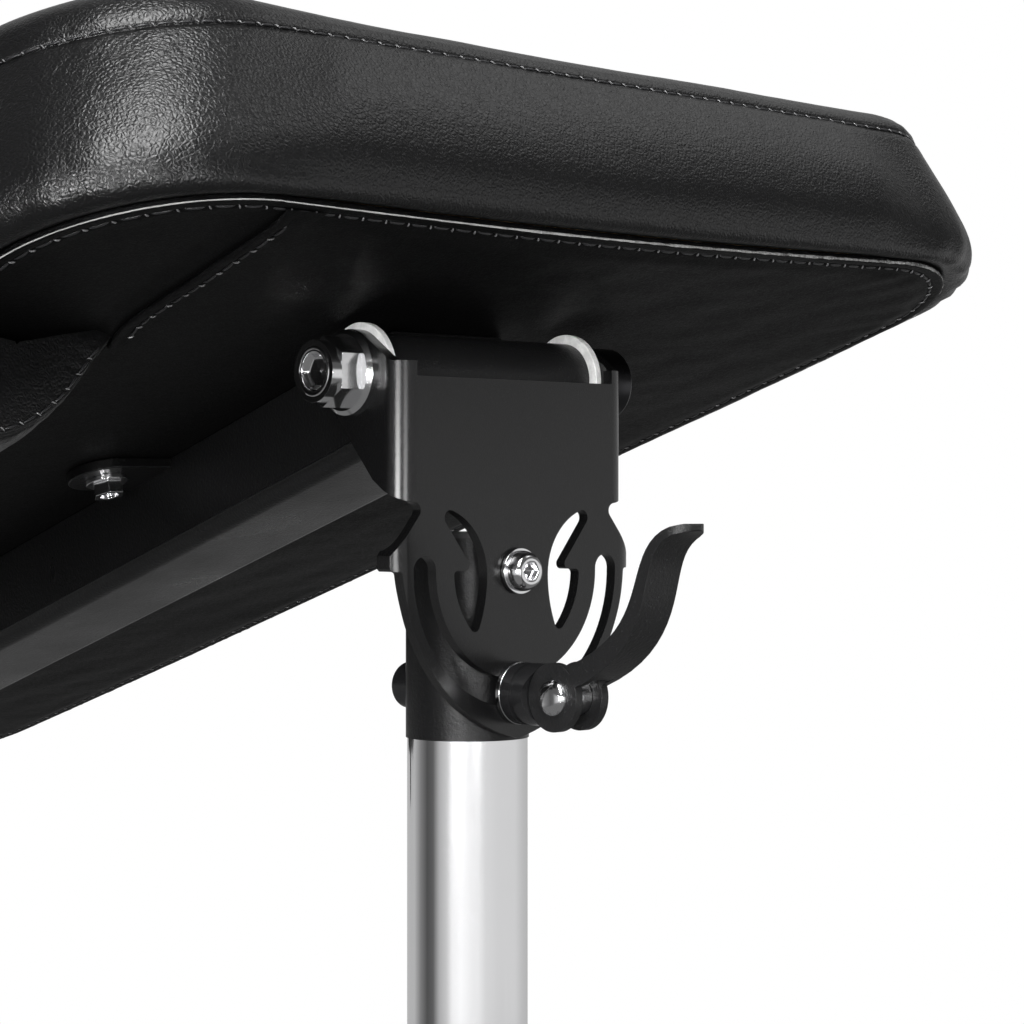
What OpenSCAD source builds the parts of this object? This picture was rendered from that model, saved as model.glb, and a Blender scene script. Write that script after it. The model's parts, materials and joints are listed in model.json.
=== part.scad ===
// Arm rest stand: a padded rest that tilts two ways on a chrome post above a low steel base.
// Millimetres, +Z up, X along the tilt hinge, +Y towards the far end of the pad.
// The origin is on the floor, in the middle of the base.

/* [Base] */
// Length of the base along Y, over both crossbars
base_l = 640; // [620:5:700]
// Length of each crossbar along X
bar_l = 460; // [400:5:520]
// Width of the crossbar and spine tubes
bar_w = 60; // [50:1:70]
// Height of the crossbar and spine tubes
bar_h = 30; // [25:1:40]
// Wall of the crossbar and spine tubes
bar_wall = 2; // [1.5:0.1:3]
// Radius of a rubber foot
foot_r = 20; // [16:0.5:26]
// Height of a rubber foot
foot_h = 15; // [12:0.5:22]
// Distance of a foot from the end of its crossbar
foot_in = 32; // [28:1:50]

/* [Column] */
// Distance of the column behind the front edge of the base
column_in = 92; // [90:1:100]
// Height of the top of the column tube above the floor
column_h = 360; // [340:5:375]
// Outer radius of the column tube
column_r = 19.05; // [18.5:0.05:20]
// Wall of the column tube
column_wall = 2; // [1.6:0.1:2.4]
// Thickness of the flange plate under the column
flange_t = 8; // [6:0.5:12]
// Length of the guide bush in the top of the column
bush_l = 45; // [30:1:60]
// Outer radius of the clamp collar
collar_r = 27; // [25:0.5:32]
// Height of the clamp collar
collar_h = 44; // [38:1:50]
// Radius over the lobes of the clamp knob
knob_r = 25; // [22:0.5:30]

/* [Post and head] */
// Height of the side tilt pivot above the floor
pivot_h = 690; // [675:5:720]
// Outer radius of the chrome post
post_r = 15.9; // [15.5:0.05:16.1]
// Wall of the chrome post
post_wall = 1.8; // [1.4:0.1:2.2]
// Length of the chrome post
post_l = 446; // [430:2:448]
// Outer radius of the black head tube
head_r = 16.25; // [16.2:0.05:18]
// How far the head tube reaches below the pivot
head_down = 44; // [43:0.5:50]
// How far the head tube reaches above the pivot
head_up = 10; // [8:0.5:12]

/* [Bracket] */
// Thickness of the bracket sheet
plate_t = 3.2; // [2.5:0.1:4]
// Width of the bracket over its side flanges
bracket_w = 80; // [76:0.5:90]
// Outer radius of the bracket's bends
bend_r = 6; // [5:0.5:7]
// Height of the plate's top edge above the pivot
plate_up = 49.3; // [48:0.1:50]
// Height of the hinge above the side tilt pivot
hinge_up = 50.5; // [50:0.5:54]
// Radius of the ears round the hinge
ear_r = 11.1; // [10:0.1:12]
// Radius of the curved slot's middle line, about the pivot
slot_r = 31.5; // [31:0.1:32.5]
// Width of the curved slot
slot_w = 7.4; // [7:0.1:8]

/* [Cam clamp] */
// Thickness of the black saddle under the cam lever
saddle_t = 8.2; // [7:0.1:10]
// Radius of the lever's round eyes
eye_r = 8.75; // [8:0.05:9.5]
// Width of the cam lever
lever_w = 11.4; // [11:0.2:18]

/* [Hinge] */
// Radius of the hinge bolt
bolt_r = 5; // [4.5:0.1:5.5]
// Radius of the hinge barrel
barrel_r = 10.5; // [9.5:0.1:11.5]
// Radius of the white washers
hinge_washer_r = 13; // [11:0.1:13.3]
// Thickness of the white washers
hinge_washer_t = 2; // [1:0.1:3]

/* [Pad] */
// Slope of the pad at rest, far end down
pad_slope = 17.6; // [10:0.1:25]
// Height of the pad's underside above the hinge
pad_off = 14; // [13.8:0.1:16]
// Length of the pad in front of the hinge
pad_near = 70; // [60:1:80]
// Length of the pad behind the hinge
pad_far = 530; // [480:5:545]
// Half of the pad's greatest width
pad_half = 162.5; // [140:0.5:180]
// Thickness of the pad at its middle
pad_t = 52; // [44:1:60]
// Radius of the pad's corners, seen from above
pad_corner = 56; // [44:1:70]
// How much narrower each side is at the far end
pad_taper = 15; // [5:1:25]
// Thickness of the board inside the pad
board_t = 12; // [9:0.5:15]
// Width of the beam under the pad
beam_w = 38.8; // [34:0.2:44]
// How far the beam reaches below the hinge
beam_down = 13; // [12:0.5:14]
// Distance of the beam's end from the far end of the pad
beam_in = 30; // [20:1:90]
// Depth of the bolster under the left side of the pad
bolster_h = 26; // [20:1:36]

/* [Hidden] */
$fn = 48;

// Clearances and the overrun of every cut
run_fit = 0.05;
seat_gap = 0.3;
face_gap = 0.2;
over = 1;

// Places of the main axes
column_y = -base_l / 2 + column_in;
bar_y = base_l / 2 - bar_w / 2;
bar_top = foot_h + bar_h;
flange_top = bar_top + flange_t;
head_off = plate_t + seat_gap + head_r;
plate_y = column_y - head_off;
post_top = pivot_h - head_down;
post_low = post_top - post_l;
tube_r = column_r - column_wall;
bore_r = post_r - post_wall;
spigot_r = bore_r - run_fit * 2;
hinge_z = pivot_h + hinge_up;
beam_l = pad_far - beam_in;

// Base: plastic caps, feet and their screws
cap_rim = 4;
cap_in = 18;
foot_taper = 3;
foot_screw_r = 2.5;
foot_head_r = 4.8;
foot_head_h = 3;
foot_recess = 6;
foot_screw_up = 8;

// Base: flange plate, its bolts and nuts
flange_x = 90;
flange_y = 120;
flange_corner = 12;
flange_bolt_x = 18;
flange_bolt_y = 45;
m8_r = 4;
m8_hole = 4.3;
m8_head_r = 7.5;
m8_head_h = 5.3;
m8_washer_r = 8.5;
m8_washer_h = 1.6;
m8_nut_h = 6.5;
m8_tail = 3;

// Column: collar, clamp screw and knob
collar_over = 18;
collar_edge = 3;
boss_r = 11;
boss_reach = 38;
clamp_z = column_h + collar_over / 2;
clamp_r = 5;
clamp_pad_r = 4.6;
clamp_pad_t = 2;
knob_gap = 8;
knob_hub_r = 12;
knob_hub_l = 8;
knob_t = 20;
knob_lobes = 5;
knob_lobe_r = 8;
knob_core_r = 17;
knob_dome = 4;
knob_dome_r = 9;

// Post: glide ring and the plug that holds it
glide_l = 18;
glide_bore = 12.6;
plug_in = 24;
plug_rim = 3;
plug_rim_r = 15.4;

// Head: spigot, cap and the two cross holes
spigot_down = 30;
cap_t = 1.5;
cap_plug = 3.5;
m6_r = 3;
m6_hole = 3.15;
pivot_head_r = 5.3;
pivot_head_h = 3.8;
pivot_washer_r = 6;
pivot_washer_t = 1.2;
head_round_share = 0.4;
pivot_key = 2.3;
pivot_key_d = 1.9;
pivot_tail = 8;

// Bracket: lower edge of the wide part, notch, barbs and pointed foot
wide_low = 17.6;
flange_low = [6, 20.5];
flange_kink = [10.3, 23.3];
flange_lip = [3.5, 53];
notch_c = [34.8, 15.6];
notch_r = 2;
barb_shoulder = [40.6, 5.1];
barb_tip = 41.3;
barb_low = 0.3;
barb_edge = 0.7;
barb_flat = 4.2;
barb_bend_r = 7;
barb_bend_x = 36.5;
foot_arc_c = [-9.35, 3.9];
foot_arc_r = 48;
foot_fillet = 0.9;
// Bracket: one of the two inner openings
open_in = 10.6;
open_waist = -1;
open_top_c = [23, 13.7];
open_top_r = 2;
open_tip_c = [18, 1.7];
open_tip_r = 1.4;
open_fillet = 1.2;
open_out_r = 21.8;
open_low_z = -13.8;
open_low_r = 1.6;
slot_end_up = 0.4;

// Cam clamp
cam_washer_r = 8.1;
cam_washer_t = 1.5;
saddle_r = 8;
saddle_lip = 2.2;
saddle_groove = 0.7;
saddle_groove_w = 1.4;
saddle_groove_share = 0.4;
eye_shift = 0.7;
cam_r = 4.6;
cam_pin_dome = 2;
cam_dome_share = 0.6;
fork_gap = 6.6;
fork_reach = 13;
lever_p = [[-5.8, 5.4], [-40.3, 17.7], [-22.8, 38.5], [-43.2, 42.9]];
lever_root = 3;
lever_end = 1;
rear_nut_r = 6.25;
rear_nut_l = 8.5;
rear_nut_edge = 1;
saddle_front = face_gap + cam_washer_t + saddle_t;
pin_y = -saddle_front - seat_gap - eye_r - eye_shift;

// Hinge
bolt_head_r = 9.75;
bolt_head_l = 12.5;
bolt_head_edge = 1;
bolt_key = 4.6;
bolt_key_d = 6;
bolt_end_in = 3;
nut_flange_r = 10.9;
nut_flange_t = 2.2;
nut_hex_r = 9;
nut_hex_l = 6.2;
nut_collar_r = 7.85;
nut_collar_l = 3;
end_key = 2.9;
end_key_d = 4;
hinge_bush_r = 7;
hinge_bush_l = 20;

// Beam, tabs and their screws
beam_wall = 2;
beam_round = 4.5;
beam_start = 4;
beam_cap_rim = 3;
beam_cap_in = 15;
tab_s = [120, 400];
tab_t = 3;
tab_out = 15.7;
tab_r = 11;
tab_washer_r = 6;
tab_washer_t = 1.4;
tab_head_r = 4.62;
tab_head_h = 3.8;
tab_hollow_r = 2.7;
tab_hollow_d = 1.2;
tab_hole = 3.3;
blind_r = 4.2;
blind_l = 9;
blind_flange_r = 9.5;
blind_flange_t = 1.5;

// Pad: underside sheet, board, and the section of the padded sides as inset and height
panel_t = 1.6;
board_in = 22;
seam_in = 8;
pad_mid = 150;
draw_in = 3;
side_inset_shares = [1, 0.5, 0.14, 0, 0.15, 0.5, 0.95, 1.45, 2.1, 4.2, 8.4];
side_height_shares = [0, 0.045, 0.14, 0.26, 0.42, 0.58, 0.73, 0.84, 0.89, 0.945, 0.985];
side_draw_shares = [0, 0, 0.3, 0.6, 1, 1, 0.8, 0.3, 0, 0, 0];
least_corner_share = 0.2;
corner_steps = 7;
long_steps = 9;
short_steps = 5;

// Bolster under the left side, in the pad's own frame
bolster_x = -121;
bolster_half = 29;
bolster_near = 14;
bolster_far = 330;
bolster_corner = 24;
bolster_edge = 25;
bolster_end_share = 0.3;
bolster_inset_shares = [0.04, 0, 0.06, 0.2, 0.42, 0.72, 1];
bolster_height_shares = [0, 0.12, 0.31, 0.5, 0.7, 0.88, 1];

function arc(c, r, from, to, steps) =
    [for (i = [0:steps]) let (a = from + (to - from) * i / steps) c + r * [cos(a), sin(a)]];
function mix(a, b, t) = a + (b - a) * t;
function flip(points) = [for (p = points) [-p[0], p[1]]];
function bezier(p, t) = pow(1 - t, 3) * p[0] + 3 * t * pow(1 - t, 2) * p[1]
    + 3 * t * t * (1 - t) * p[2] + pow(t, 3) * p[3];
function bezier_way(p, t) = pow(1 - t, 2) * (p[1] - p[0]) + 2 * t * (1 - t) * (p[2] - p[1])
    + t * t * (p[3] - p[2]);

// Bars along Y and X, from one end to the other
module rod_y(r, from, to, r2 = undef) {
    translate([0, from, 0])
        rotate([-90, 0, 0])
            cylinder(r1 = r, r2 = is_undef(r2) ? r : r2, h = to - from);
}
module rod_x(r, from, to, r2 = undef) {
    translate([from, 0, 0])
        rotate([0, 90, 0])
            cylinder(r1 = r, r2 = is_undef(r2) ? r : r2, h = to - from);
}
module hex_x(r, from, to) {
    translate([from, 0, 0])
        rotate([0, 90, 0])
            cylinder(r = r, h = to - from, $fn = 6);
}
module hex_y(r, from, to) {
    translate([0, from, 0])
        rotate([-90, 0, 0])
            cylinder(r = r, h = to - from, $fn = 6);
}
module ring(r, bore, h) {
    difference() {
        cylinder(r = r, h = h);
        translate([0, 0, -over])
            cylinder(r = bore, h = h + 2 * over);
    }
}
module both_sides() {
    children();
    mirror([1, 0, 0])
        children();
}

// Frames: the column axis at the floor, the pivot on the plate's front, and the pad at its slope
module at_column() {
    translate([0, column_y, 0])
        children();
}
module at_pivot() {
    translate([0, plate_y, pivot_h])
        children();
}
module at_cam() {
    at_pivot()
        translate([0, 0, -slot_r])
            children();
}
module at_hinge() {
    translate([0, column_y, hinge_z])
        children();
}
module at_pad() {
    at_hinge()
        rotate([-pad_slope, 0, 0])
            children();
}

// Base
module bar_ends() {
    for (x = [-1, 1], y = [-1, 1])
        translate([x * bar_l / 2, y * bar_y, 0])
            mirror([x < 0 ? 1 : 0, 0, 0])
                children();
}
module foot_places() {
    for (x = [-1, 1], y = [-1, 1])
        translate([x * (bar_l / 2 - foot_in), y * bar_y, 0])
            children();
}
module flange_bolt_places() {
    for (x = [-1, 1], y = [-1, 1])
        translate([x * flange_bolt_x, column_y + y * flange_bolt_y, 0])
            children();
}
module bar_holes() {
    foot_places()
        translate([0, 0, foot_h - over])
            cylinder(r = foot_screw_r + seat_gap, h = bar_wall + 2 * over);
    flange_bolt_places()
        translate([0, 0, bar_top - bar_wall - over])
            cylinder(r = m8_hole, h = bar_wall + 2 * over);
}
module crossbar(y) {
    difference() {
        translate([-bar_l / 2, y - bar_w / 2, foot_h])
            cube([bar_l, bar_w, bar_h]);
        translate([-bar_l / 2 - over, y - bar_w / 2 + bar_wall, foot_h + bar_wall])
            cube([bar_l + 2 * over, bar_w - 2 * bar_wall, bar_h - 2 * bar_wall]);
        bar_holes();
    }
}
module front_crossbar() {
    color("dimgray")
        crossbar(-bar_y);
}
module rear_crossbar() {
    color("dimgray")
        crossbar(bar_y);
}
module spine() {
    length = base_l - 2 * bar_w;
    color("dimgray")
        difference() {
            translate([-bar_w / 2, -length / 2, foot_h])
                cube([bar_w, length, bar_h]);
            translate([-bar_w / 2 + bar_wall, -length / 2 - over, foot_h + bar_wall])
                cube([bar_w - 2 * bar_wall, length + 2 * over, bar_h - 2 * bar_wall]);
            bar_holes();
        }
}
module crossbar_caps() {
    slack = bar_wall + face_gap;
    color("black")
        bar_ends() {
            translate([0, -bar_w / 2, foot_h])
                cube([cap_rim, bar_w, bar_h]);
            translate([-cap_in, -bar_w / 2 + slack, foot_h + slack])
                cube([cap_in, bar_w - 2 * slack, bar_h - 2 * slack]);
        }
}
module rubber_feet() {
    color("black")
        foot_places()
            difference() {
                cylinder(r1 = foot_r, r2 = foot_r - foot_taper, h = foot_h);
                translate([0, 0, -over])
                    cylinder(r = foot_head_r + seat_gap, h = foot_recess + over);
                translate([0, 0, -over])
                    cylinder(r = foot_screw_r + face_gap, h = foot_h + 2 * over);
            }
}
module foot_screws() {
    color("silver")
        foot_places() {
            translate([0, 0, foot_recess - foot_head_h])
                cylinder(r = foot_head_r, h = foot_head_h);
            translate([0, 0, foot_recess])
                cylinder(r = foot_screw_r, h = foot_h - foot_recess + bar_wall + foot_screw_up);
        }
}

// Column
module column_flange() {
    mid_x = flange_x / 2 - flange_corner;
    mid_y = flange_y / 2 - flange_corner;
    color("dimgray")
        difference() {
            at_column()
                translate([0, 0, bar_top])
                    linear_extrude(flange_t) {
                        square([2 * mid_x, flange_y], center = true);
                        square([flange_x, 2 * mid_y], center = true);
                        for (x = [-1, 1], y = [-1, 1])
                            translate([x * mid_x, y * mid_y])
                                circle(r = flange_corner);
                    }
            flange_bolt_places()
                translate([0, 0, bar_top - over])
                    cylinder(r = m8_hole, h = flange_t + 2 * over);
        }
}
module flange_bolts() {
    low = bar_top - bar_wall - m8_nut_h - m8_tail;
    color("silver")
        flange_bolt_places() {
            translate([0, 0, low])
                cylinder(r = m8_r, h = flange_top - low);
            translate([0, 0, flange_top])
                cylinder(r = m8_washer_r, h = m8_washer_h);
            translate([0, 0, flange_top + m8_washer_h])
                cylinder(r = m8_head_r, h = m8_head_h, $fn = 6);
        }
}
module flange_nuts() {
    color("silver")
        flange_bolt_places()
            translate([0, 0, bar_top - bar_wall - m8_nut_h])
                difference() {
                    cylinder(r = m8_head_r, h = m8_nut_h, $fn = 6);
                    translate([0, 0, -over])
                        cylinder(r = m8_r, h = m8_nut_h + 2 * over);
                }
}
module column_tube() {
    color("dimgray")
        at_column()
            translate([0, 0, flange_top])
                ring(column_r, tube_r, column_h - flange_top);
}
module column_bush() {
    color("white")
        at_column()
            translate([0, 0, column_h - bush_l])
                ring(tube_r, post_r + run_fit, bush_l);
}
module clamp_collar() {
    low = column_h + collar_over - collar_h;
    color("black")
        at_column()
            difference() {
                union() {
                    translate([0, 0, low])
                        cylinder(r1 = collar_r - collar_edge, r2 = collar_r, h = collar_edge);
                    translate([0, 0, low + collar_edge])
                        cylinder(r = collar_r, h = collar_h - 2 * collar_edge);
                    translate([0, 0, low + collar_h - collar_edge])
                        cylinder(r1 = collar_r, r2 = collar_r - collar_edge, h = collar_edge);
                    translate([0, 0, clamp_z])
                        rod_y(boss_r, -boss_reach, -post_r - clamp_pad_t);
                }
                translate([0, 0, low - over])
                    cylinder(r = column_r, h = column_h - low + over);
                translate([0, 0, low])
                    cylinder(r = post_r + seat_gap, h = collar_h + over);
                translate([0, 0, clamp_z])
                    rod_y(clamp_r + run_fit, -boss_reach - over, 0);
            }
}
module at_clamp() {
    at_column()
        translate([0, 0, clamp_z])
            children();
}
module clamp_pad() {
    tip = post_r + seat_gap;
    color("gold")
        at_clamp()
            rod_y(clamp_pad_r, -tip - clamp_pad_t, -tip);
}
module clamp_screw() {
    tip = post_r + seat_gap + clamp_pad_t + face_gap;
    color("silver")
        at_clamp()
            rod_y(clamp_r, -boss_reach - knob_gap - knob_hub_l - knob_t / 2, -tip);
}
module clamp_knob() {
    hub = boss_reach + knob_gap;
    body = hub + knob_hub_l;
    color("black")
        at_clamp()
            difference() {
                union() {
                    rod_y(knob_hub_r, -body, -hub);
                    translate([0, -body, 0])
                        rotate([90, 0, 0])
                            linear_extrude(knob_t) {
                                circle(r = knob_core_r);
                                for (i = [0:knob_lobes - 1])
                                    rotate(i * 360 / knob_lobes)
                                        translate([knob_r - knob_lobe_r, 0])
                                            circle(r = knob_lobe_r);
                            }
                    rod_y(knob_dome_r, -body - knob_t - knob_dome, -body - knob_t, knob_hub_r);
                }
                rod_y(clamp_r, -body - knob_t / 2, -hub + over);
            }
}

// Post, turning in the glide ring
module post_tube() {
    color("silver")
        at_column()
            translate([0, 0, post_low])
                ring(post_r, bore_r, post_l);
}
module post_plug() {
    rim = post_low - glide_l - 2 * face_gap;
    color("black")
        at_column() {
            translate([0, 0, post_low])
                cylinder(r = bore_r, h = plug_in);
            translate([0, 0, rim])
                cylinder(r = glide_bore - run_fit, h = post_low - rim);
            translate([0, 0, rim - plug_rim])
                cylinder(r = plug_rim_r, h = plug_rim);
        }
}
module post_glide() {
    color("white")
        at_column()
            translate([0, 0, post_low - glide_l - face_gap])
                ring(tube_r - run_fit, glide_bore, glide_l);
}

// Head of the post
module cross_holes(r) {
    reach = head_off + head_r + over;
    at_pivot()
        rod_y(r, 0, reach);
    at_cam()
        rod_y(r, 0, reach);
}
module head_tube() {
    color("black")
        difference() {
            at_column()
                translate([0, 0, post_top])
                    ring(head_r, bore_r, head_down + head_up - cap_t);
            cross_holes(m6_hole);
        }
}
module head_spigot() {
    color("silver")
        difference() {
            at_column()
                translate([0, 0, post_top - spigot_down])
                    cylinder(r = spigot_r, h = spigot_down + head_down + head_up - cap_t - cap_plug);
            cross_holes(m6_r);
        }
}
module head_cap() {
    color("black")
        at_column() {
            translate([0, 0, pivot_h + head_up - cap_t])
                cylinder(r = head_r, h = cap_t);
            translate([0, 0, pivot_h + head_up - cap_t - cap_plug])
                cylinder(r = spigot_r, h = cap_plug);
        }
}
module pivot_washer() {
    color("silver")
        at_pivot()
            difference() {
                rod_y(pivot_washer_r, -face_gap - pivot_washer_t, -face_gap);
                rod_y(m6_r, -face_gap - pivot_washer_t - over, over);
            }
}
module pivot_screw() {
    seat = -face_gap - pivot_washer_t;
    color("silver")
        at_pivot()
            difference() {
                union() {
                    translate([0, seat, 0])
                        rotate([90, 0, 0])
                            rotate_extrude()
                                polygon(concat([[0, 0]], [for (a = [0:15:90])
                                    [pivot_head_r * mix(1, cos(a), head_round_share),
                                        pivot_head_h * sin(a)]], [[0, pivot_head_h]]));
                    rod_y(m6_r, seat, head_off + pivot_tail);
                }
                hex_y(pivot_key, seat - pivot_head_h - over, seat - pivot_head_h + pivot_key_d);
            }
}

// Cam clamp, carried by a stud through the curved slot and the head
module clamp_stud() {
    color("silver")
        at_cam()
            rod_y(m6_r, pin_y - cam_r / 2, head_off + head_r + rear_nut_l - rear_nut_edge);
}
module cam_washer() {
    color("silver")
        at_cam()
            difference() {
                rod_y(cam_washer_r, -face_gap - cam_washer_t, -face_gap);
                rod_y(m6_r, -saddle_front, over);
            }
}
module cam_saddle() {
    back = -face_gap - cam_washer_t;
    mid = back - saddle_t * saddle_groove_share;
    color("black")
        at_cam()
            difference() {
                rod_y(saddle_r, -saddle_front - saddle_lip, back);
                rod_y(m6_r, -saddle_front - saddle_lip - over, over);
                translate([0, pin_y, 0])
                    rod_x(-saddle_front - pin_y, -saddle_r - over, saddle_r + over);
                difference() {
                    rod_y(saddle_r + over, mid - saddle_groove_w, mid);
                    rod_y(saddle_r - saddle_groove, mid - saddle_groove_w - over, mid + over);
                }
            }
}
module cam_pin() {
    half = lever_w / 2 + face_gap;
    color("silver")
        at_cam()
            difference() {
                translate([0, pin_y, 0]) {
                    rod_x(cam_r, -half, half);
                    rod_x(cam_r, half, half + cam_pin_dome, cam_r * cam_dome_share);
                    rod_x(cam_r * cam_dome_share, -half - cam_pin_dome, -half, cam_r);
                }
                rod_y(m6_r, pin_y - cam_r / 2, 0);
            }
}
function lever_edge(side) = [for (i = [0:20]) let (t = i / 20, d = bezier_way(lever_p, t),
    w = mix(lever_root, lever_end, t)) bezier(lever_p, t) + side * w * [-d[1], d[0]] / norm(d)];
module lever_plan() {
    reach = lever_end - lever_p[3][0];
    translate([0, lever_w / 2 - reach])
        circle(r = lever_w / 2);
    translate([-lever_w / 2, lever_w / 2 - reach])
        square([lever_w, reach + eye_r]);
}
module cam_lever() {
    way = bezier_way(lever_p, 1);
    tip = atan2(way[1], way[0]);
    top = lever_p[3][1] + 2 * lever_root;
    color("black")
        at_cam()
            translate([0, pin_y, 0])
                difference() {
                    union() {
                        translate([0, eye_shift, 0])
                            rod_x(eye_r, -lever_w / 2, lever_w / 2);
                        intersection() {
                            translate([-lever_w / 2, 0, 0])
                                rotate([90, 0, 90])
                                    linear_extrude(lever_w)
                                        polygon(concat(lever_edge(-1),
                                            arc(lever_p[3], lever_end, tip - 90, tip + 90, 8),
                                            [for (i = [20:-1:0]) lever_edge(1)[i]]));
                            linear_extrude(top)
                                lever_plan();
                        }
                    }
                    rod_x(fork_reach, -fork_gap / 2, fork_gap / 2);
                    rod_x(cam_r + run_fit, -lever_w, lever_w);
                }
}
module rear_nut() {
    start = head_off + head_r;
    color("black")
        at_cam()
            difference() {
                union() {
                    rod_y(rear_nut_r, start, start + rear_nut_l - rear_nut_edge);
                    rod_y(rear_nut_r, start + rear_nut_l - rear_nut_edge, start + rear_nut_l,
                        rear_nut_r - rear_nut_edge);
                }
                rod_y(m6_r, start - over, start + rear_nut_l - rear_nut_edge);
            }
}

// Bracket: a folded sheet, drawn in the frame of the pivot
module u_channel(low, high) {
    back = head_off + ear_r;
    flat = bracket_w / 2 - bend_r;
    translate([-flat, 0, low])
        cube([2 * flat, plate_t, high - low]);
    both_sides() {
        translate([bracket_w / 2 - plate_t, bend_r, low])
            cube([plate_t, back - bend_r, high - low]);
        translate([flat, bend_r, low])
            intersection() {
                ring(bend_r, bend_r - plate_t, high - low);
                translate([0, -bend_r, 0])
                    cube([bend_r, bend_r, high - low]);
            }
    }
}
module flange_shape() {
    rear = flange_kink - [head_off, hinge_up];
    lip = flange_lip - [head_off, hinge_up];
    rear_a = atan2(rear[1], rear[0]) + acos(ear_r / norm(rear));
    lip_a = atan2(lip[1], lip[0]) - acos(ear_r / norm(lip));
    translate([-bracket_w, 0, 0])
        rotate([90, 0, 90])
            linear_extrude(2 * bracket_w) {
                translate([head_off, hinge_up])
                    circle(r = ear_r);
                polygon([[0, wide_low], flange_low, flange_kink,
                    [head_off, hinge_up] + ear_r * [cos(rear_a), sin(rear_a)],
                    [head_off, hinge_up],
                    [head_off, hinge_up] + ear_r * [cos(lip_a), sin(lip_a)],
                    flange_lip, [0, flange_lip[1]]]);
            }
}
function foot_outline() = let (way = barb_shoulder - notch_c,
    notch_a = atan2(way[1], way[0]) - acos(notch_r / norm(way)) + 360,
    side_z = barb_low - foot_fillet - foot_arc_c[1],
    side_x = foot_arc_c[0] + sqrt(foot_arc_r * foot_arc_r - side_z * side_z))
    concat([[0, wide_low + notch_r], [notch_c[0], wide_low + notch_r]],
        arc(notch_c, notch_r, 90, notch_a, 10),
        [barb_shoulder, [barb_tip, barb_flat], [barb_tip, barb_low + barb_edge],
            [barb_tip - barb_edge, barb_low]],
        arc([side_x + foot_fillet, barb_low - foot_fillet], foot_fillet, 90, 180, 4),
        arc(foot_arc_c, foot_arc_r, asin(side_z / foot_arc_r),
            -acos(-foot_arc_c[0] / foot_arc_r), 30));
module bent_tips(low, high) {
    translate([-barb_bend_x, 0, low])
        cube([2 * barb_bend_x, plate_t, high - low]);
    both_sides()
        translate([barb_bend_x, barb_bend_r, low])
            intersection() {
                ring(barb_bend_r, barb_bend_r - plate_t, high - low);
                translate([0, -barb_bend_r, 0])
                    cube([barb_bend_r, barb_bend_r, high - low]);
            }
}
module anchor_foot() {
    intersection() {
        translate([0, barb_bend_r, 0])
            rotate([90, 0, 0])
                linear_extrude(barb_bend_r) {
                    polygon(foot_outline());
                    polygon(flip(foot_outline()));
                }
        bent_tips(-foot_arc_r, wide_low + 2 * notch_r);
    }
}
function inner_opening() = let (
    top_d = open_top_c[0] - open_in, top_h = open_top_c[1] - open_waist,
    top_big = (top_d * top_d + top_h * top_h - open_top_r * open_top_r) / (2 * (top_d - open_top_r)),
    low_c = [sqrt(pow(open_out_r - open_low_r, 2) - open_low_z * open_low_z), open_low_z],
    low_d = low_c[0] - open_in, low_h = open_waist - open_low_z,
    low_big = (low_d * low_d + low_h * low_h - open_low_r * open_low_r) / (2 * (low_d - open_low_r)),
    shelf = open_tip_c[1] - open_tip_r,
    side_c = [sqrt(pow(open_out_r - open_fillet, 2) - pow(shelf - open_fillet, 2)), shelf - open_fillet],
    way = open_tip_c - open_top_c,
    cross = asin((open_top_r + open_tip_r) / norm(way)),
    line = atan2(way[1], way[0]) - cross,
    top_a = atan2(top_h, open_top_c[0] - open_in - top_big),
    low_a = atan2(-low_h, low_c[0] - open_in - low_big) + 360)
    concat(arc([open_in + low_big, open_waist], low_big, low_a, 180, 10),
        arc([open_in + top_big, open_waist], top_big, 180, top_a, 12),
        arc(open_top_c, open_top_r, top_a, line + 90, 10),
        arc(open_tip_c, open_tip_r, line + 270, 270, 8),
        arc(side_c, open_fillet, 90, atan2(side_c[1], side_c[0]), 4),
        arc([0, 0], open_out_r, atan2(side_c[1], side_c[0]), atan2(low_c[1], low_c[0]), 10),
        arc(low_c, open_low_r, atan2(low_c[1], low_c[0]), low_a - 360, 6));
module through_plate() {
    translate([0, barb_bend_r + over, 0])
        rotate([90, 0, 0])
            linear_extrude(barb_bend_r + 2 * over)
                children();
}
module curved_slot() {
    inner = slot_r - slot_w / 2;
    outer = slot_r + slot_w / 2;
    difference() {
        rod_y(outer, -over, plate_t + over);
        rod_y(inner, -2 * over, plate_t + 2 * over);
        translate([-slot_r - slot_w, -2 * over, slot_end_up])
            cube([2 * (slot_r + slot_w), plate_t + 4 * over, slot_r + slot_w]);
    }
    both_sides()
        translate([slot_r, 0, slot_end_up])
            rod_y(slot_w / 2, -over, plate_t + over);
}
module bracket() {
    color("black")
        at_pivot()
            difference() {
                union() {
                    intersection() {
                        u_channel(wide_low, hinge_up + ear_r);
                        flange_shape();
                    }
                    anchor_foot();
                }
                translate([-bracket_w / 2 + bend_r, -over, plate_up])
                    cube([bracket_w - 2 * bend_r, plate_t + 2 * over, ear_r * 2]);
                rod_y(m6_r + run_fit, -over, plate_t + over);
                curved_slot();
                through_plate() {
                    polygon(inner_opening());
                    polygon(flip(inner_opening()));
                }
                translate([0, head_off, hinge_up])
                    rod_x(bolt_r + face_gap, -bracket_w, bracket_w);
            }
}

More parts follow.
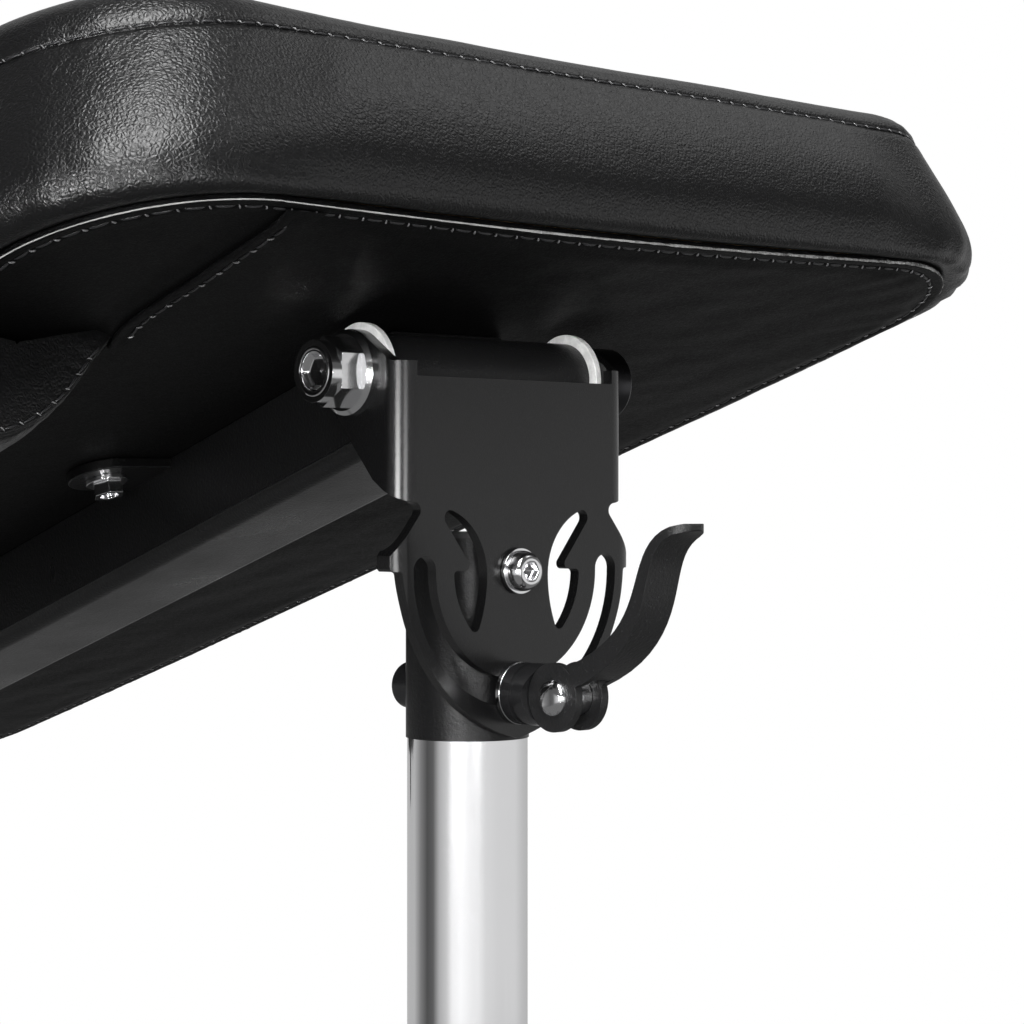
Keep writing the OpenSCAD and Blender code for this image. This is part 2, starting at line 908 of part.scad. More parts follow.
// Hinge of the pad
ear_in = bracket_w / 2 - plate_t;
barrel_half = ear_in - hinge_washer_t - face_gap;
module hinge_bolt() {
    left = -bracket_w / 2 - nut_flange_t - nut_hex_l - nut_collar_l + bolt_end_in;
    right = bracket_w / 2;
    color("black")
        at_hinge()
            difference() {
                union() {
                    rod_x(bolt_r, left, right);
                    rod_x(bolt_head_r, right, right + bolt_head_l - bolt_head_edge);
                    rod_x(bolt_head_r, right + bolt_head_l - bolt_head_edge, right + bolt_head_l,
                        bolt_head_r - bolt_head_edge);
                }
                hex_x(end_key, left - over, left + end_key_d);
                hex_x(bolt_key, right + bolt_head_l - bolt_key_d, right + bolt_head_l + over);
            }
}
module hinge_nut() {
    seat = -bracket_w / 2;
    hex = seat - nut_flange_t;
    end = hex - nut_hex_l;
    color("silver")
        at_hinge()
            difference() {
                union() {
                    rod_x(nut_flange_r - nut_flange_t / 2, hex, seat - nut_flange_t / 2, nut_flange_r);
                    rod_x(nut_flange_r, seat - nut_flange_t / 2, seat);
                    hex_x(nut_hex_r, end, hex);
                    rod_x(nut_collar_r, end - nut_collar_l, end);
                }
                rod_x(bolt_r, end - nut_collar_l - over, seat + over);
            }
}
module hinge_washers() {
    color("white")
        at_hinge()
            both_sides()
                difference() {
                    rod_x(hinge_washer_r, ear_in - hinge_washer_t, ear_in);
                    rod_x(bolt_r, ear_in - hinge_washer_t - over, ear_in + over);
                }
}
module hinge_barrel() {
    color("black")
        at_hinge()
            difference() {
                rod_x(barrel_r, -barrel_half, barrel_half);
                rod_x(hinge_bush_r, -barrel_half - over, barrel_half + over);
            }
}
module barrel_bushes() {
    color("white")
        at_hinge()
            both_sides()
                difference() {
                    rod_x(hinge_bush_r, barrel_half - hinge_bush_l, barrel_half);
                    rod_x(bolt_r + run_fit, barrel_half - hinge_bush_l - over, barrel_half + over);
                }
}

// Beam and the screws that hold it to the pad, all in the pad's frame
module beam_section(w, down, up, r) {
    translate([-w / 2 + r, -down])
        square([w - 2 * r, up + down]);
    translate([-w / 2, -down + r])
        square([w, up + down - r]);
    for (x = [-1, 1])
        translate([x * (w / 2 - r), -down + r])
            circle(r = r);
}
module beam_run(from, to) {
    translate([0, to, 0])
        rotate([90, 0, 0])
            linear_extrude(to - from)
                children();
}
module beam() {
    color("black")
        at_pad()
            difference() {
                beam_run(beam_start, beam_l)
                    beam_section(beam_w, beam_down, pad_off, beam_round);
                beam_run(beam_start - over, beam_l + over)
                    beam_section(beam_w - 2 * beam_wall, beam_down - beam_wall, pad_off - beam_wall,
                        beam_round - beam_wall);
                rod_x(barrel_r, -beam_w, beam_w);
            }
}
module beam_cap() {
    slack = beam_wall + face_gap;
    color("black")
        at_pad() {
            beam_run(beam_l, beam_l + beam_cap_rim)
                beam_section(beam_w, beam_down, pad_off - seat_gap, beam_round);
            beam_run(beam_l - beam_cap_in, beam_l)
                beam_section(beam_w - 2 * slack, beam_down - slack, pad_off - slack, beam_round - beam_wall);
        }
}
module tab_places() {
    for (s = tab_s)
        both_sides()
            translate([beam_w / 2 + tab_out, s, 0])
                children();
}
module beam_tabs() {
    color("black")
        at_pad()
            tab_places()
                difference() {
                    translate([0, 0, pad_off - tab_t]) {
                        cylinder(r = tab_r, h = tab_t);
                        translate([-tab_out, -tab_r, 0])
                            cube([tab_out, 2 * tab_r, tab_t]);
                    }
                    translate([0, 0, pad_off - tab_t - over])
                        cylinder(r = tab_hole, h = tab_t + 2 * over);
                }
}
module tab_washers() {
    color("silver")
        at_pad()
            tab_places()
                translate([0, 0, pad_off - tab_t - tab_washer_t])
                    ring(tab_washer_r, m6_r, tab_washer_t);
}
module tab_screws() {
    seat = pad_off - tab_t - tab_washer_t;
    top = pad_off + panel_t + board_t - face_gap;
    color("silver")
        at_pad()
            tab_places() {
                difference() {
                    translate([0, 0, seat - tab_head_h])
                        cylinder(r = tab_head_r, h = tab_head_h, $fn = 6);
                    translate([0, 0, seat - tab_head_h - over])
                        cylinder(r = tab_hollow_r, h = tab_hollow_d + over);
                }
                translate([0, 0, seat])
                    cylinder(r = m6_r, h = top - seat);
            }
}
module blind_nuts() {
    top = pad_off + panel_t + board_t;
    color("silver")
        at_pad()
            tab_places()
                difference() {
                    union() {
                        translate([0, 0, top - blind_flange_t])
                            cylinder(r = blind_flange_r, h = blind_flange_t);
                        translate([0, 0, top - blind_l])
                            cylinder(r = blind_r, h = blind_l);
                    }
                    translate([0, 0, top - blind_l - over])
                        cylinder(r = m6_r, h = blind_l + 2 * over);
                }
}

// Outline of the pad seen from above: a rounded rectangle, drawn in along its long sides
// and narrower towards the far end
function side_run(a, b, steps) = [for (i = [1:steps - 1]) mix(a, b, i / steps)];
function drawn(a, b, steps, way) =
    [for (i = [1:steps - 1]) mix(a, b, i / steps) + way * sin(180 * i / steps)];
function rounded_rect(x0, x1, y0, y1, r, dx, dy) = concat(
    arc([x1 - r, y0 + r], r, -90, 0, corner_steps),
    drawn([x1, y0 + r], [x1, y1 - r], long_steps, [-dx, 0]),
    arc([x1 - r, y1 - r], r, 0, 90, corner_steps),
    drawn([x1 - r, y1], [x0 + r, y1], short_steps, [0, -dy]),
    arc([x0 + r, y1 - r], r, 90, 180, corner_steps),
    drawn([x0, y1 - r], [x0, y0 + r], long_steps, [dx, 0]),
    arc([x0 + r, y0 + r], r, 180, 270, corner_steps),
    drawn([x0 + r, y0], [x1 - r, y0], short_steps, [0, dy]));
function taper(p) = let (far = max(0, (p[1] - pad_mid) / (pad_far - pad_mid)))
    [p[0] * (1 - pad_taper / pad_half * far * far), p[1]];
function pad_outline(inset, draw) = [for (p = rounded_rect(-pad_half + inset, pad_half - inset,
    -pad_near + inset, pad_far - inset, max(pad_corner - inset, pad_corner * least_corner_share),
    draw, draw / 2)) taper(p)];

// A closed skin over rings of equally many points, with a middle point at each end
function lifted(ring2d, z) = [for (p = ring2d) [p[0], p[1], z]];
function flat(lists) = [for (l = lists) for (p = l) p];
function middle(points) = [for (k = [0:2]) let (v = [for (p = points) p[k]]) (min(v) + max(v)) / 2];
module skin(rings, first, last) {
    n = len(rings[0]);
    m = len(rings);
    points = concat(flat(rings), [first, last]);
    walls = [for (j = [0:m - 2], i = [0:n - 1]) let (k = (i + 1) % n)
        [[j * n + i, (j + 1) * n + i, (j + 1) * n + k], [j * n + i, (j + 1) * n + k, j * n + k]]];
    low = [for (i = [0:n - 1]) [m * n, i, (i + 1) % n]];
    high = [for (i = [0:n - 1]) [m * n + 1, (m - 1) * n + (i + 1) % n, (m - 1) * n + i]];
    polyhedron(points = points, faces = concat(flat(walls), low, high), convexity = 4);
}
function pad_rings() = [for (i = [0:len(side_inset_shares) - 1])
    lifted(pad_outline(seam_in * side_inset_shares[i], draw_in * side_draw_shares[i]),
        pad_off + pad_t * side_height_shares[i])];
module pad_inside(inset, low, high) {
    translate([0, 0, low])
        linear_extrude(high - low)
            polygon(pad_outline(inset, 0));
}
module arm_pad() {
    rings = pad_rings();
    bottom = middle(rings[0]);
    color("black")
        at_pad()
            difference() {
                skin(rings, bottom, [bottom[0], bottom[1], pad_off + pad_t]);
                pad_inside(board_in - face_gap, pad_off - over, pad_off + panel_t + board_t + face_gap);
                pad_inside(seam_in + face_gap, pad_off - over, pad_off + panel_t);
            }
}
module bottom_panel() {
    color("black")
        at_pad()
            difference() {
                pad_inside(seam_in + 2 * face_gap, pad_off, pad_off + panel_t);
                tab_places()
                    cylinder(r = tab_hole, h = pad_off + panel_t + over);
            }
}
module pad_board() {
    low = pad_off + panel_t;
    color("tan")
        at_pad()
            difference() {
                pad_inside(board_in, low, low + board_t);
                tab_places() {
                    translate([0, 0, low - over])
                        cylinder(r = tab_hole, h = board_t + over);
                    translate([0, 0, low + board_t - blind_l])
                        cylinder(r = blind_r, h = blind_l + over);
                    translate([0, 0, low + board_t - blind_flange_t])
                        cylinder(r = blind_flange_r, h = blind_flange_t + over);
                }
            }
}
module bolster() {
    rings = [for (i = [len(bolster_inset_shares) - 1:-1:0])
        let (inset = bolster_edge * bolster_inset_shares[i],
            corner = max(bolster_corner - inset, bolster_corner * least_corner_share))
        lifted(rounded_rect(bolster_x - bolster_half + inset, bolster_x + bolster_half - inset,
            bolster_near + bolster_end_share * inset, bolster_far - inset, corner, 0, 0),
            pad_off - bolster_h * bolster_height_shares[i])];
    color("black")
        at_pad()
            skin(rings, middle(rings[0]), middle(rings[len(rings) - 1]));
}

front_crossbar();
rear_crossbar();
spine();
crossbar_caps();
rubber_feet();
foot_screws();
column_flange();
flange_bolts();
flange_nuts();
column_tube();
column_bush();
clamp_collar();
clamp_knob();
clamp_screw();
clamp_pad();
post_glide();
post_plug();
post_tube();
head_tube();
head_spigot();
head_cap();
pivot_screw();
pivot_washer();
clamp_stud();
cam_washer();
cam_saddle();
cam_pin();
cam_lever();
rear_nut();
bracket();
hinge_bolt();
hinge_nut();
hinge_washers();
hinge_barrel();
barrel_bushes();
beam();
beam_tabs();
beam_cap();
tab_screws();
tab_washers();
blind_nuts();
pad_board();
bottom_panel();
arm_pad();
bolster();
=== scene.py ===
"""Padded arm rest on a tilting head and a chrome post, with its studio, laid out as an add-on."""

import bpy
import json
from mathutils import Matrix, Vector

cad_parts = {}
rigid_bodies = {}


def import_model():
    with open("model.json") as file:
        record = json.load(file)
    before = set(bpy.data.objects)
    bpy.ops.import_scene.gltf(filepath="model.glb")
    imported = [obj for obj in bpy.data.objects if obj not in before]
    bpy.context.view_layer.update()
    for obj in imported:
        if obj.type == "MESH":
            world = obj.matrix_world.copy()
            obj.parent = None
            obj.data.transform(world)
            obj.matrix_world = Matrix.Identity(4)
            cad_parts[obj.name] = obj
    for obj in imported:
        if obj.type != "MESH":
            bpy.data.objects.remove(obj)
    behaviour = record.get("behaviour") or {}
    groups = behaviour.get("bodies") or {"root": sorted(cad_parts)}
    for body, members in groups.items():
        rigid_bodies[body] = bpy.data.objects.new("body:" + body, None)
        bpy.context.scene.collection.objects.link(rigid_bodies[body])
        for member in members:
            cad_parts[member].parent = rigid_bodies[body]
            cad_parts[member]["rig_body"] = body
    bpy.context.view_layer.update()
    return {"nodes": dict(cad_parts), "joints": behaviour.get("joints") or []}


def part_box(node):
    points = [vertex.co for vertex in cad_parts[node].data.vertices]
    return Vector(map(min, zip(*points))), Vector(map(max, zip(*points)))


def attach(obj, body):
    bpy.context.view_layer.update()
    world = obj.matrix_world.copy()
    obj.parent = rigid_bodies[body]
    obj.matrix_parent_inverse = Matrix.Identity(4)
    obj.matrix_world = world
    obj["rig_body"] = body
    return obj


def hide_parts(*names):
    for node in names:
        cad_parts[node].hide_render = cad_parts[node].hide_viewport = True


bl_info = {
    "name": "Padded arm rest stand",
    "version": (1, 0, 0),
    "blender": (4, 5, 0),
    "location": "View3D > Sidebar > Arm rest",
    "description": "Leather pad, folded steel head, chrome post and low base of an adjustable arm rest",
    "category": "Add Mesh",
}

import json
import math

import bmesh
import bpy
import numpy as np
from bpy.props import FloatProperty, FloatVectorProperty, PointerProperty
from bpy.types import Operator, Panel, PropertyGroup
from mathutils import Vector

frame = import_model()

JOINTS = {joint["name"]: np.array(joint["pos_m"]) for joint in frame["joints"] if joint.get("pos_m")}
HINGE, PIVOT, CAM_PIN = JOINTS["pad_tilt"], JOINTS["side_tilt"], JOINTS["cam_lever_turn"]
DOWN = [0, 0, -1.0]
UP = [0, 0, 1.0]
MM = 0.001

# Where the camera stands and looks, level with the head
CAMERA_PLACE = (-0.4527, -0.7430, 0.7052)
CAMERA_WAY = np.array([0.673, 0.7396, 0.0])
# What reflections meet round the head, ring by ring: the ring's elevation in degrees, then degrees from the
# camera's side, positive to the right, each with its brightness
LOW_RING = ((-180, 0.5), (-120, 0.53), (-100, 0.24), (-82, 0.09), (-67, 0.13), (-54, 0.5), (-40, 0.68),
            (-28, 1.08), (-12, 1.2), (10, 1.05), (22, 1.0), (36, 0.82), (60, 0.76), (105, 0.74), (130, 0.6),
            (180, 0.45))
GAP_RING = ((-180, 0.5), (-140, 0.45), (-115, 0.1), (120, 0.1), (150, 0.45), (180, 0.5))
PANEL_RING = ((-180, 0.5), (-140, 0.3), (-120, 0.1), (70, 0.1), (82, 1.5), (122, 1.5), (145, 0.5),
              (180, 0.5))
TOP_RING = ((-180, 0.1), (180, 0.1))
RINGS = ((-22, GAP_RING), (-15, LOW_RING), (4, LOW_RING), (9, GAP_RING), (38, GAP_RING), (45, PANEL_RING),
         (56, PANEL_RING), (64, TOP_RING), (90, TOP_RING))
# The two strips beside the camera: from and to in degrees from its side, and share of the full brightness
STRIPS = {"left_strip": (-27, -7, 1), "right_strip": (11, 27, 0.4)}
STRIP_HEIGHTS = (-4, 3)
WALL_RADIUS, STRIP_RADIUS = 2.0, 1.3
# The card that reflections meet in place of the floor, just above it
CARD_RADIUS, CARD_HEIGHT = 2.3, 0.002
# The soft lamps' places and sizes, and the middle of the head, which they are turned to
KEY_PLACE, KEY_SIZE = (-0.649, -0.953, 1.89), (0.50, 1.50)
FRONT_PLACE, FRONT_SIZE = (-1.00, -0.95, 0.86), (0.5, 0.5)
HEAD_MIDDLE = (0, -0.24, 0.74)

# The pad's three outlines seen from above, in metres: how far they lie inside the widest box (left, right,
# near, far), the corner radii (near right, far right, far left, near left) and how far the long and the
# short sides sag in. The left corner is fuller than the right, and the seams run closer in on the right
LIP_OUTLINE = ((0.0105, 0.0075, 0.0051, 0.0080), (0.044, 0.050, 0.050, 0.047), 0.0020, 0.0032)
WIDE_OUTLINE = ((0, 0, 0, 0), (0.040, 0.052, 0.052, 0.052), 0.0030, 0.0015)
SEAM_OUTLINE = ((0.0105, 0.0120, 0.0055, 0.0075), (0.031, 0.048, 0.048, 0.0565), 0.0, 0.0)
# Points on an arc, a long and a short side of an outline, and the least share of a corner's radius
OUTLINE_STEPS = (30, 150, 64)
LEAST_CORNER = 0.2
# The cover's section: share of the lip's outline, share of the seam's (the rest is the widest one), more
# inset and height above the underside, both in millimetres; from the sewn lip to the upper seam, the
# groove of that seam; then the top as inset and height, on the right and, fuller, on the left
SIDE_SECTION = np.array([
    [1.10, 0, 0, 2.6], [1, 0, 0, 1.9], [0.62, 0, 0, 1.15], [0.36, 0, 0, 1.6], [0.2, 0, 0, 2.9],
    [0.07, 0, 0, 5.6], [0, 0, 0, 9.6], [0, 0.03, 0, 13.5], [0, 0.14, 0, 18], [0, 0.34, 0, 24.5],
    [0, 0.58, 0, 31], [0, 0.82, 0, 37.5], [0, 0.97, 0, 41.4], [0, 1, 0.1, 42.2]])
GROOVE_SECTION = np.array([[0, 1, 1.0, 42.5], [0, 1, 1.35, 42.8], [0, 1, 0.35, 43.4]])
TOP_RIGHT = np.array([
    [0.3, 43.7], [0.45, 44.5], [1.0, 45.9], [2.0, 47.4], [3.4, 48.8], [5.4, 50.3], [8.5, 52.0], [13, 53.7],
    [20, 55.4], [32, 57.0], [50, 58.4]])
TOP_LEFT = np.array([
    [0.3, 43.7], [0.4, 44.8], [0.8, 46.6], [1.6, 48.7], [3.0, 51.1], [5.2, 53.5], [8.4, 55.8], [12.5, 57.8],
    [18, 59.3], [30, 60.8], [50, 61.6]])
# How long a whole share counts along the section, so that its points are evenly spaced
SHARE_LENGTH = 0.008
# The top turns from its right section to its left one over this stretch, to the left of the middle
LEFT_FROM, LEFT_OVER = 0.05, 0.09
SIDE_ROWS, TOP_ROWS, MIDDLE_ROWS = 46, 38, 15
# How far short of the pad's ends the line in its middle stops
MIDDLE_END = 0.15
# Share of the way to that line over which the top still follows its own section
SECTION_HOLD = 0.5
# The cover's puckers: their pitch along the lip, their reach from the lip and from the upper seam, and
# their height along the sides, more of it at the corners and where the leather is slack
PUCKER_PITCH, LIP_REACH, SEAM_REACH = 0.0112, 0.0085, 0.0055
PUCKER_SIDE, PUCKER_CORNER, PUCKER_SLACK = 0.00004, 0.00050, 0.00005
# The small gathers of the upper seam: pitch and height; the faint crease above it: place, width and depth
GATHER_PITCH, GATHER_HEIGHT = 0.0050, 0.00007
CREASE_UP, CREASE_WIDTH, CREASE_DEPTH = 0.0062, 0.0009, 0.00026
# How far the side is drawn in above the lip, and at what height
TUCK_DEPTH, TUCK_UP = 0.0006, 0.005
# The ring that places the cover's waves, the column that its section is measured on, and the lengths over
# which waves and puckers fade in from the lip and from the seam
WAVE_ROW, SECTION_COLUMN = 6, 40
LIP_FADE, SEAM_FADE = 0.004, 0.003
# Where the upper seam's stitches lie: in from the outline, and up from the underside
UPPER_ROW_IN, UPPER_ROW_UP = 0.0004, 0.0429
# Shares of the pitch that a stitch and the tick at its end take, and the tick's share of the thread
STITCH_SHARE, TICK_SHARE, TICK_THREAD = 0.74, 0.24, 0.62

# The leather under the pad: its swell, broad waves and wrinkles, where inside the edge the swell starts and
# over what width, the groove of the stitches, and the ripples that run in from the edge
SWELL, SWELL_BROAD, SWELL_FINE = 0.0007, 0.0005, 0.00016
SWELL_FROM, SWELL_OVER = 0.0045, 0.006
ROW_WIDTH, ROW_DEPTH = 0.0006, 0.00045
RIPPLE_PITCH, RIPPLE_HEIGHT, RIPPLE_REACH = 0.013, 0.00034, 0.013
# Half the width that the beam holds flat, the width over which that hold ends, and where it ends in front
# of the hinge
HELD_HALF, HELD_EDGE = 0.046, 0.03
HELD_FRONT, HELD_FRONT_EDGE = 0.012, 0.02
# The dimples beside the hinge: across and along from it, half their size both ways, and depth
DIMPLE_PLACE, DIMPLE_SIZE, DIMPLE_DEPTH = (0.033, -0.010), (0.013, 0.015), 0.0011
# The fold outside which the leather lies deeper: where it runs, how far it turns in and over what length,
# the depth and the width of the step, and where its folded edge starts, behind the near edge, and ends
FOLD_ACROSS, FOLD_TURN, FOLD_LENGTH = -0.1013, 0.0038, 0.018
FOLD_DEPTH, FOLD_STEP = 0.0012, 0.004
FOLD_START, FOLD_END = 0.0078, 0.020
# The fold's stitches: behind the near edge and past the hinge, beside the fold, and below the leather
FOLD_ROW_IN, FOLD_ROW_BESIDE, FOLD_ROW_BELOW = 0.014, 0.0044, 0.00055
# Section of the folded edge, in millimetres: out from the fold, down from the leather
FOLD_SECTION = np.array([
    [11.0, -0.15], [8.5, 0.10], [6.6, 0.42], [5.4, 0.66], [4.9, 0.62], [4.4, 0.45], [3.9, 0.66],
    [3.2, 0.98], [2.2, 1.40], [1.3, 1.72], [0.6, 1.82], [0.1, 1.70], [-0.25, 1.35], [-0.3, 0.95],
    [-0.05, 0.5], [0.3, 0.1], [0.8, -0.5]])
# An inset at which the leather under the pad has its full swell
WELL_INSIDE = 0.02

# Outline of the bolster's near end in the pad's frame, across and up from the hinge, in millimetres
BOLSTER_SECTION = np.array([
    [-97.6, 15.5], [-97.8, 14.0], [-99.8, 11.6], [-104.2, 7.6], [-109.0, 2.6], [-114.0, -2.4],
    [-119.0, -6.2], [-124.5, -9.4], [-131.0, -12.0], [-138.0, -13.0], [-144.5, -11.4], [-149.0, -6.5],
    [-150.6, 0.5], [-150.8, 8.0], [-150.8, 15.5]])
# The roll behind its near seam: share of its swell, and millimetres behind the near end
BOLSTER_START = np.array([
    [0.0, 0.0], [0.25, 0.25], [0.1, 0.65], [-0.85, 1.15], [-0.75, 1.5], [0.35, 2.1], [0.8, 4.0], [1.05, 8.0],
    [1.15, 16.0], [1.15, 34.0]]) / [1.15, 1]
# The roll's middle, across and below the underside, how far its near end is domed, the length of its round
# far end, where its near seam lies behind the near end, and the height and number of the puckers there
BOLSTER_MIDDLE = (-0.126, 0.004)
BOLSTER_DOME, BOLSTER_ROUND, BOLSTER_SEAM = 0.0011, 0.030, 0.0012
BOLSTER_PUCKER, BOLSTER_PUCKERS = 0.00022, 15

# Sides of a turned piece, and the radius of a ring that closes it on its axis
TURNED_SIDES, POINT = 72, 0.00001
# Rounded edges: steps, and the least angle between faces that is an edge; flatter faces than the last angle
# are one
EDGE_STEPS, EDGE_ANGLE, FLAT_ANGLE = 3, math.radians(28), math.radians(0.8)
# Points closer than this are one, in a cover or a CAD mesh and in fine trim
MERGE, FINE_MERGE = 2e-6, 1e-7


# Sizes and colours a user would change


def metres(name, description, default):
    return FloatProperty(name=name, description=description, default=default, unit="LENGTH")


def shade(name, description, default):
    return FloatVectorProperty(name=name, description=description, default=default, subtype="COLOR", size=3,
                               min=0, max=1)


class PadSizes(PropertyGroup):
    slope: FloatProperty(name="Slope", description="Slope of the pad at rest, far end down",
                         default=math.radians(17.6), subtype="ANGLE")
    under: metres("Underside", "Height of the underside above the hinge", 0.014)
    near: metres("Near length", "Length of the pad in front of the hinge", 0.070)
    far: metres("Far length", "Length of the pad behind the hinge", 0.530)
    half: metres("Half width", "Half of the pad's greatest width", 0.1625)
    crown: metres("Crown", "Thickness of the pad along its middle", 0.0610)
    lean: FloatProperty(name="Lean", description="How much lower the top lies to the right, per length",
                        default=0.012)
    taper: metres("Taper", "How much each side draws in towards the far end", 0.015)
    taper_from: metres("Taper start", "Where the taper starts, behind the hinge", 0.150)
    puff: metres("Puff", "How far the sides bulge between the corners", 0.0034)
    unevenness: metres("Unevenness", "Height of the soft waves in the leather", 0.00055)


class StitchSizes(PropertyGroup):
    upper_pitch: metres("Upper pitch", "Stitch length in the upper seam", 0.0050)
    upper_thread: metres("Upper thread", "Radius of the upper seam's thread", 0.00030)
    lower_pitch: metres("Lower pitch", "Stitch length under the pad", 0.0070)
    lower_thread: metres("Lower thread", "Radius of the thread under the pad", 0.00040)
    inset: metres("Stitch row", "Distance of the lower row from the raw edge", 0.0037)


class BolsterSizes(PropertyGroup):
    near: metres("Near end", "Where the bolster starts, behind the hinge", 0.0165)
    far: metres("Far end", "Where the bolster ends, behind the hinge", 0.330)
    swell: metres("Swell", "How far the roll swells behind its end seam", 0.0016)


class Finishes(PropertyGroup):
    leather: shade("Leather", "Colour of the leather", (0.0026, 0.0026, 0.0028))
    coat: shade("Powder coat", "Colour of the coated steel", (0.0070, 0.0070, 0.0073))
    chrome: shade("Chrome", "Colour of the chrome plating", (0.82, 0.82, 0.83))
    nylon: shade("Nylon", "Colour of the white washers", (0.84, 0.84, 0.83))
    grain: metres("Grain", "Size of one fold of the leather's grain", 0.0011)


class Studio(PropertyGroup):
    floor: metres("Floor", "Radius of the pale floor", 2.4)
    lens: FloatProperty(name="Lens", description="Focal length of the camera, in millimetres",
                        default=91.34)
    key: FloatProperty(name="Key light", description="Power of the main soft light", default=36.0)
    front: FloatProperty(name="Front light", description="Power of the soft light beside the camera",
                         default=14.0)
    fill: FloatProperty(name="Fill light", description="Strength of the room light", default=0.42)
    strip: FloatProperty(name="Strip", description="Brightness of the strips beside the camera, seen only "
                         "in reflections", default=48.0)
    under: FloatProperty(name="Dark floor", description="Brightness of the floor in reflections",
                         default=0.17)


# Meshes from arrays


def grid_faces(rows, columns, closed=True):
    """Quads between neighbouring rows of points; closed joins the last column to the first."""
    around = columns if closed else columns - 1
    j, i = np.meshgrid(np.arange(rows - 1), np.arange(around), indexing="ij")
    k = (i + 1) % columns
    return np.stack([j * columns + i, j * columns + k, (j + 1) * columns + k, (j + 1) * columns + i],
                    axis=-1).reshape(-1, 4)


def linked(name, data):
    """A new object of the scene with that data."""
    thing = bpy.data.objects.new(name, data)
    bpy.context.scene.collection.objects.link(thing)
    return thing


def new_mesh(name, points, faces):
    mesh = bpy.data.meshes.new(name)
    mesh.from_pydata(np.asarray(points, float).reshape(-1, 3).tolist(), [],
                     [list(map(int, face)) for face in faces])
    return mesh


def make_piece(name, points, faces, finish_name, body="pad"):
    """A mesh object at the origin, riding on its body, with its finish."""
    mesh = new_mesh(name, points, faces)
    mesh.validate()
    mesh.shade_smooth()
    mesh.update()
    piece = linked(name, mesh)
    mesh.materials.append(finish(finish_name))
    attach(piece, body)
    return piece


def merge_close(mesh, distance=1e-6, slivers=None, flat=None):
    """Joins points that lie on each other, so that seams and poles are closed, drops slivers, and where
    flat is given joins faces that meet at a flatter angle."""
    work = bmesh.new()
    work.from_mesh(mesh)
    bmesh.ops.remove_doubles(work, verts=work.verts, dist=distance)
    bmesh.ops.dissolve_degenerate(work, edges=work.edges, dist=slivers or distance)
    if flat:
        bmesh.ops.dissolve_limit(work, angle_limit=flat, verts=work.verts, edges=work.edges)
    bmesh.ops.recalc_face_normals(work, faces=work.faces)
    work.to_mesh(mesh)
    work.free()
    mesh.update()


def unit(vectors):
    return vectors / np.maximum(np.linalg.norm(vectors, axis=-1, keepdims=True), 1e-12)


def ease(share):
    """A share of 0..1 that starts and ends softly: three times its square less two times its cube."""
    return share**2 * (3 - 2 * share)


def ramp(value, start, over):
    """The share of the way that value has gone from start, over that length, held at 0 and 1."""
    return np.clip((value - start) / over, 0, 1)


def from_pad(points):
    """Pad frame (across, along, up from the hinge) to row frame: turned by the slope about the hinge."""
    a = -bpy.context.scene.arm_pad_sizes.slope
    p = np.asarray(points, float)
    x, y, z = p[..., 0], p[..., 1], p[..., 2]
    return np.stack([x + HINGE[0], HINGE[1] + y * math.cos(a) - z * math.sin(a),
                     HINGE[2] + y * math.sin(a) + z * math.cos(a)], axis=-1)


def turn_to_pad(directions):
    """Directions of the pad's frame in the row frame."""
    return from_pad(directions) - from_pad(np.zeros(3))


def run_along(points):
    """Distance along an open row of points."""
    return np.concatenate([[0], np.cumsum(np.linalg.norm(np.diff(points, axis=0), axis=1))])


def smooth_path(knots, count):
    """A curve through the knots: a cubic whose slope at each knot is that between its neighbours,
    sampled at even steps of the knots' own length."""
    t = run_along(knots)
    slope = np.gradient(knots, t, axis=0)
    at = np.linspace(0, t[-1], count)
    k = np.clip(np.searchsorted(t, at, side="right") - 1, 0, len(t) - 2)
    width = (t[k + 1] - t[k])[:, None]
    u = (at - t[k])[:, None] / width
    return ((2 * u**3 - 3 * u**2 + 1) * knots[k] + (u**3 - 2 * u**2 + u) * width * slope[k]
            + (3 * u**2 - 2 * u**3) * knots[k + 1] + (u**3 - u**2) * width * slope[k + 1])


def waves(points, longest, seed, octaves=3):
    """Soft, repeatable unevenness: a sum of sines of the place in random directions, each octave
    half as long and half as high, scaled to about -1..1."""
    rng = np.random.default_rng(seed)
    total = np.zeros(points.shape[:-1])
    height = 1.0
    for octave in range(octaves):
        for _ in range(5):
            way = rng.normal(size=points.shape[-1])
            way *= 2 * math.pi / (longest * 0.5**octave) / np.linalg.norm(way)
            total += height * np.sin(points @ way + rng.uniform(0, 2 * math.pi)) / 2.2
        height *= 0.5
    return total / 1.75


# The pad's outline and cover


def rounded_outline(box, radii, sag_long, sag_short):
    """Rounded rectangle from the start of the near right corner, anticlockwise: four arcs and four sides
    that sag in by a half sine. box is left, right, near, far; the radii go round from the near right
    corner."""
    x0, x1, y0, y1 = box
    a, b, c, d = radii
    arc_n, long_n, short_n = OUTLINE_STEPS
    turn = np.linspace(0, math.pi / 2, arc_n + 1)

    def arc(cx, cy, r, start):
        return np.stack([cx + r * np.cos(start + turn), cy + r * np.sin(start + turn)], 1)

    def side(p, q, n, way):
        u = (np.arange(1, n) / n)[:, None]
        return np.array(p) * (1 - u) + np.array(q) * u + np.sin(math.pi * u) * np.array(way)

    return np.concatenate([
        arc(x1 - a, y0 + a, a, -math.pi / 2), side([x1, y0 + a], [x1, y1 - b], long_n, [-sag_long, 0]),
        arc(x1 - b, y1 - b, b, 0), side([x1 - b, y1], [x0 + c, y1], short_n, [0, -sag_short]),
        arc(x0 + c, y1 - c, c, math.pi / 2), side([x0, y1 - c], [x0, y0 + d], long_n, [sag_long, 0]),
        arc(x0 + d, y0 + d, d, math.pi), side([x0 + d, y0], [x1 - a, y0], short_n, [0, sag_short])])


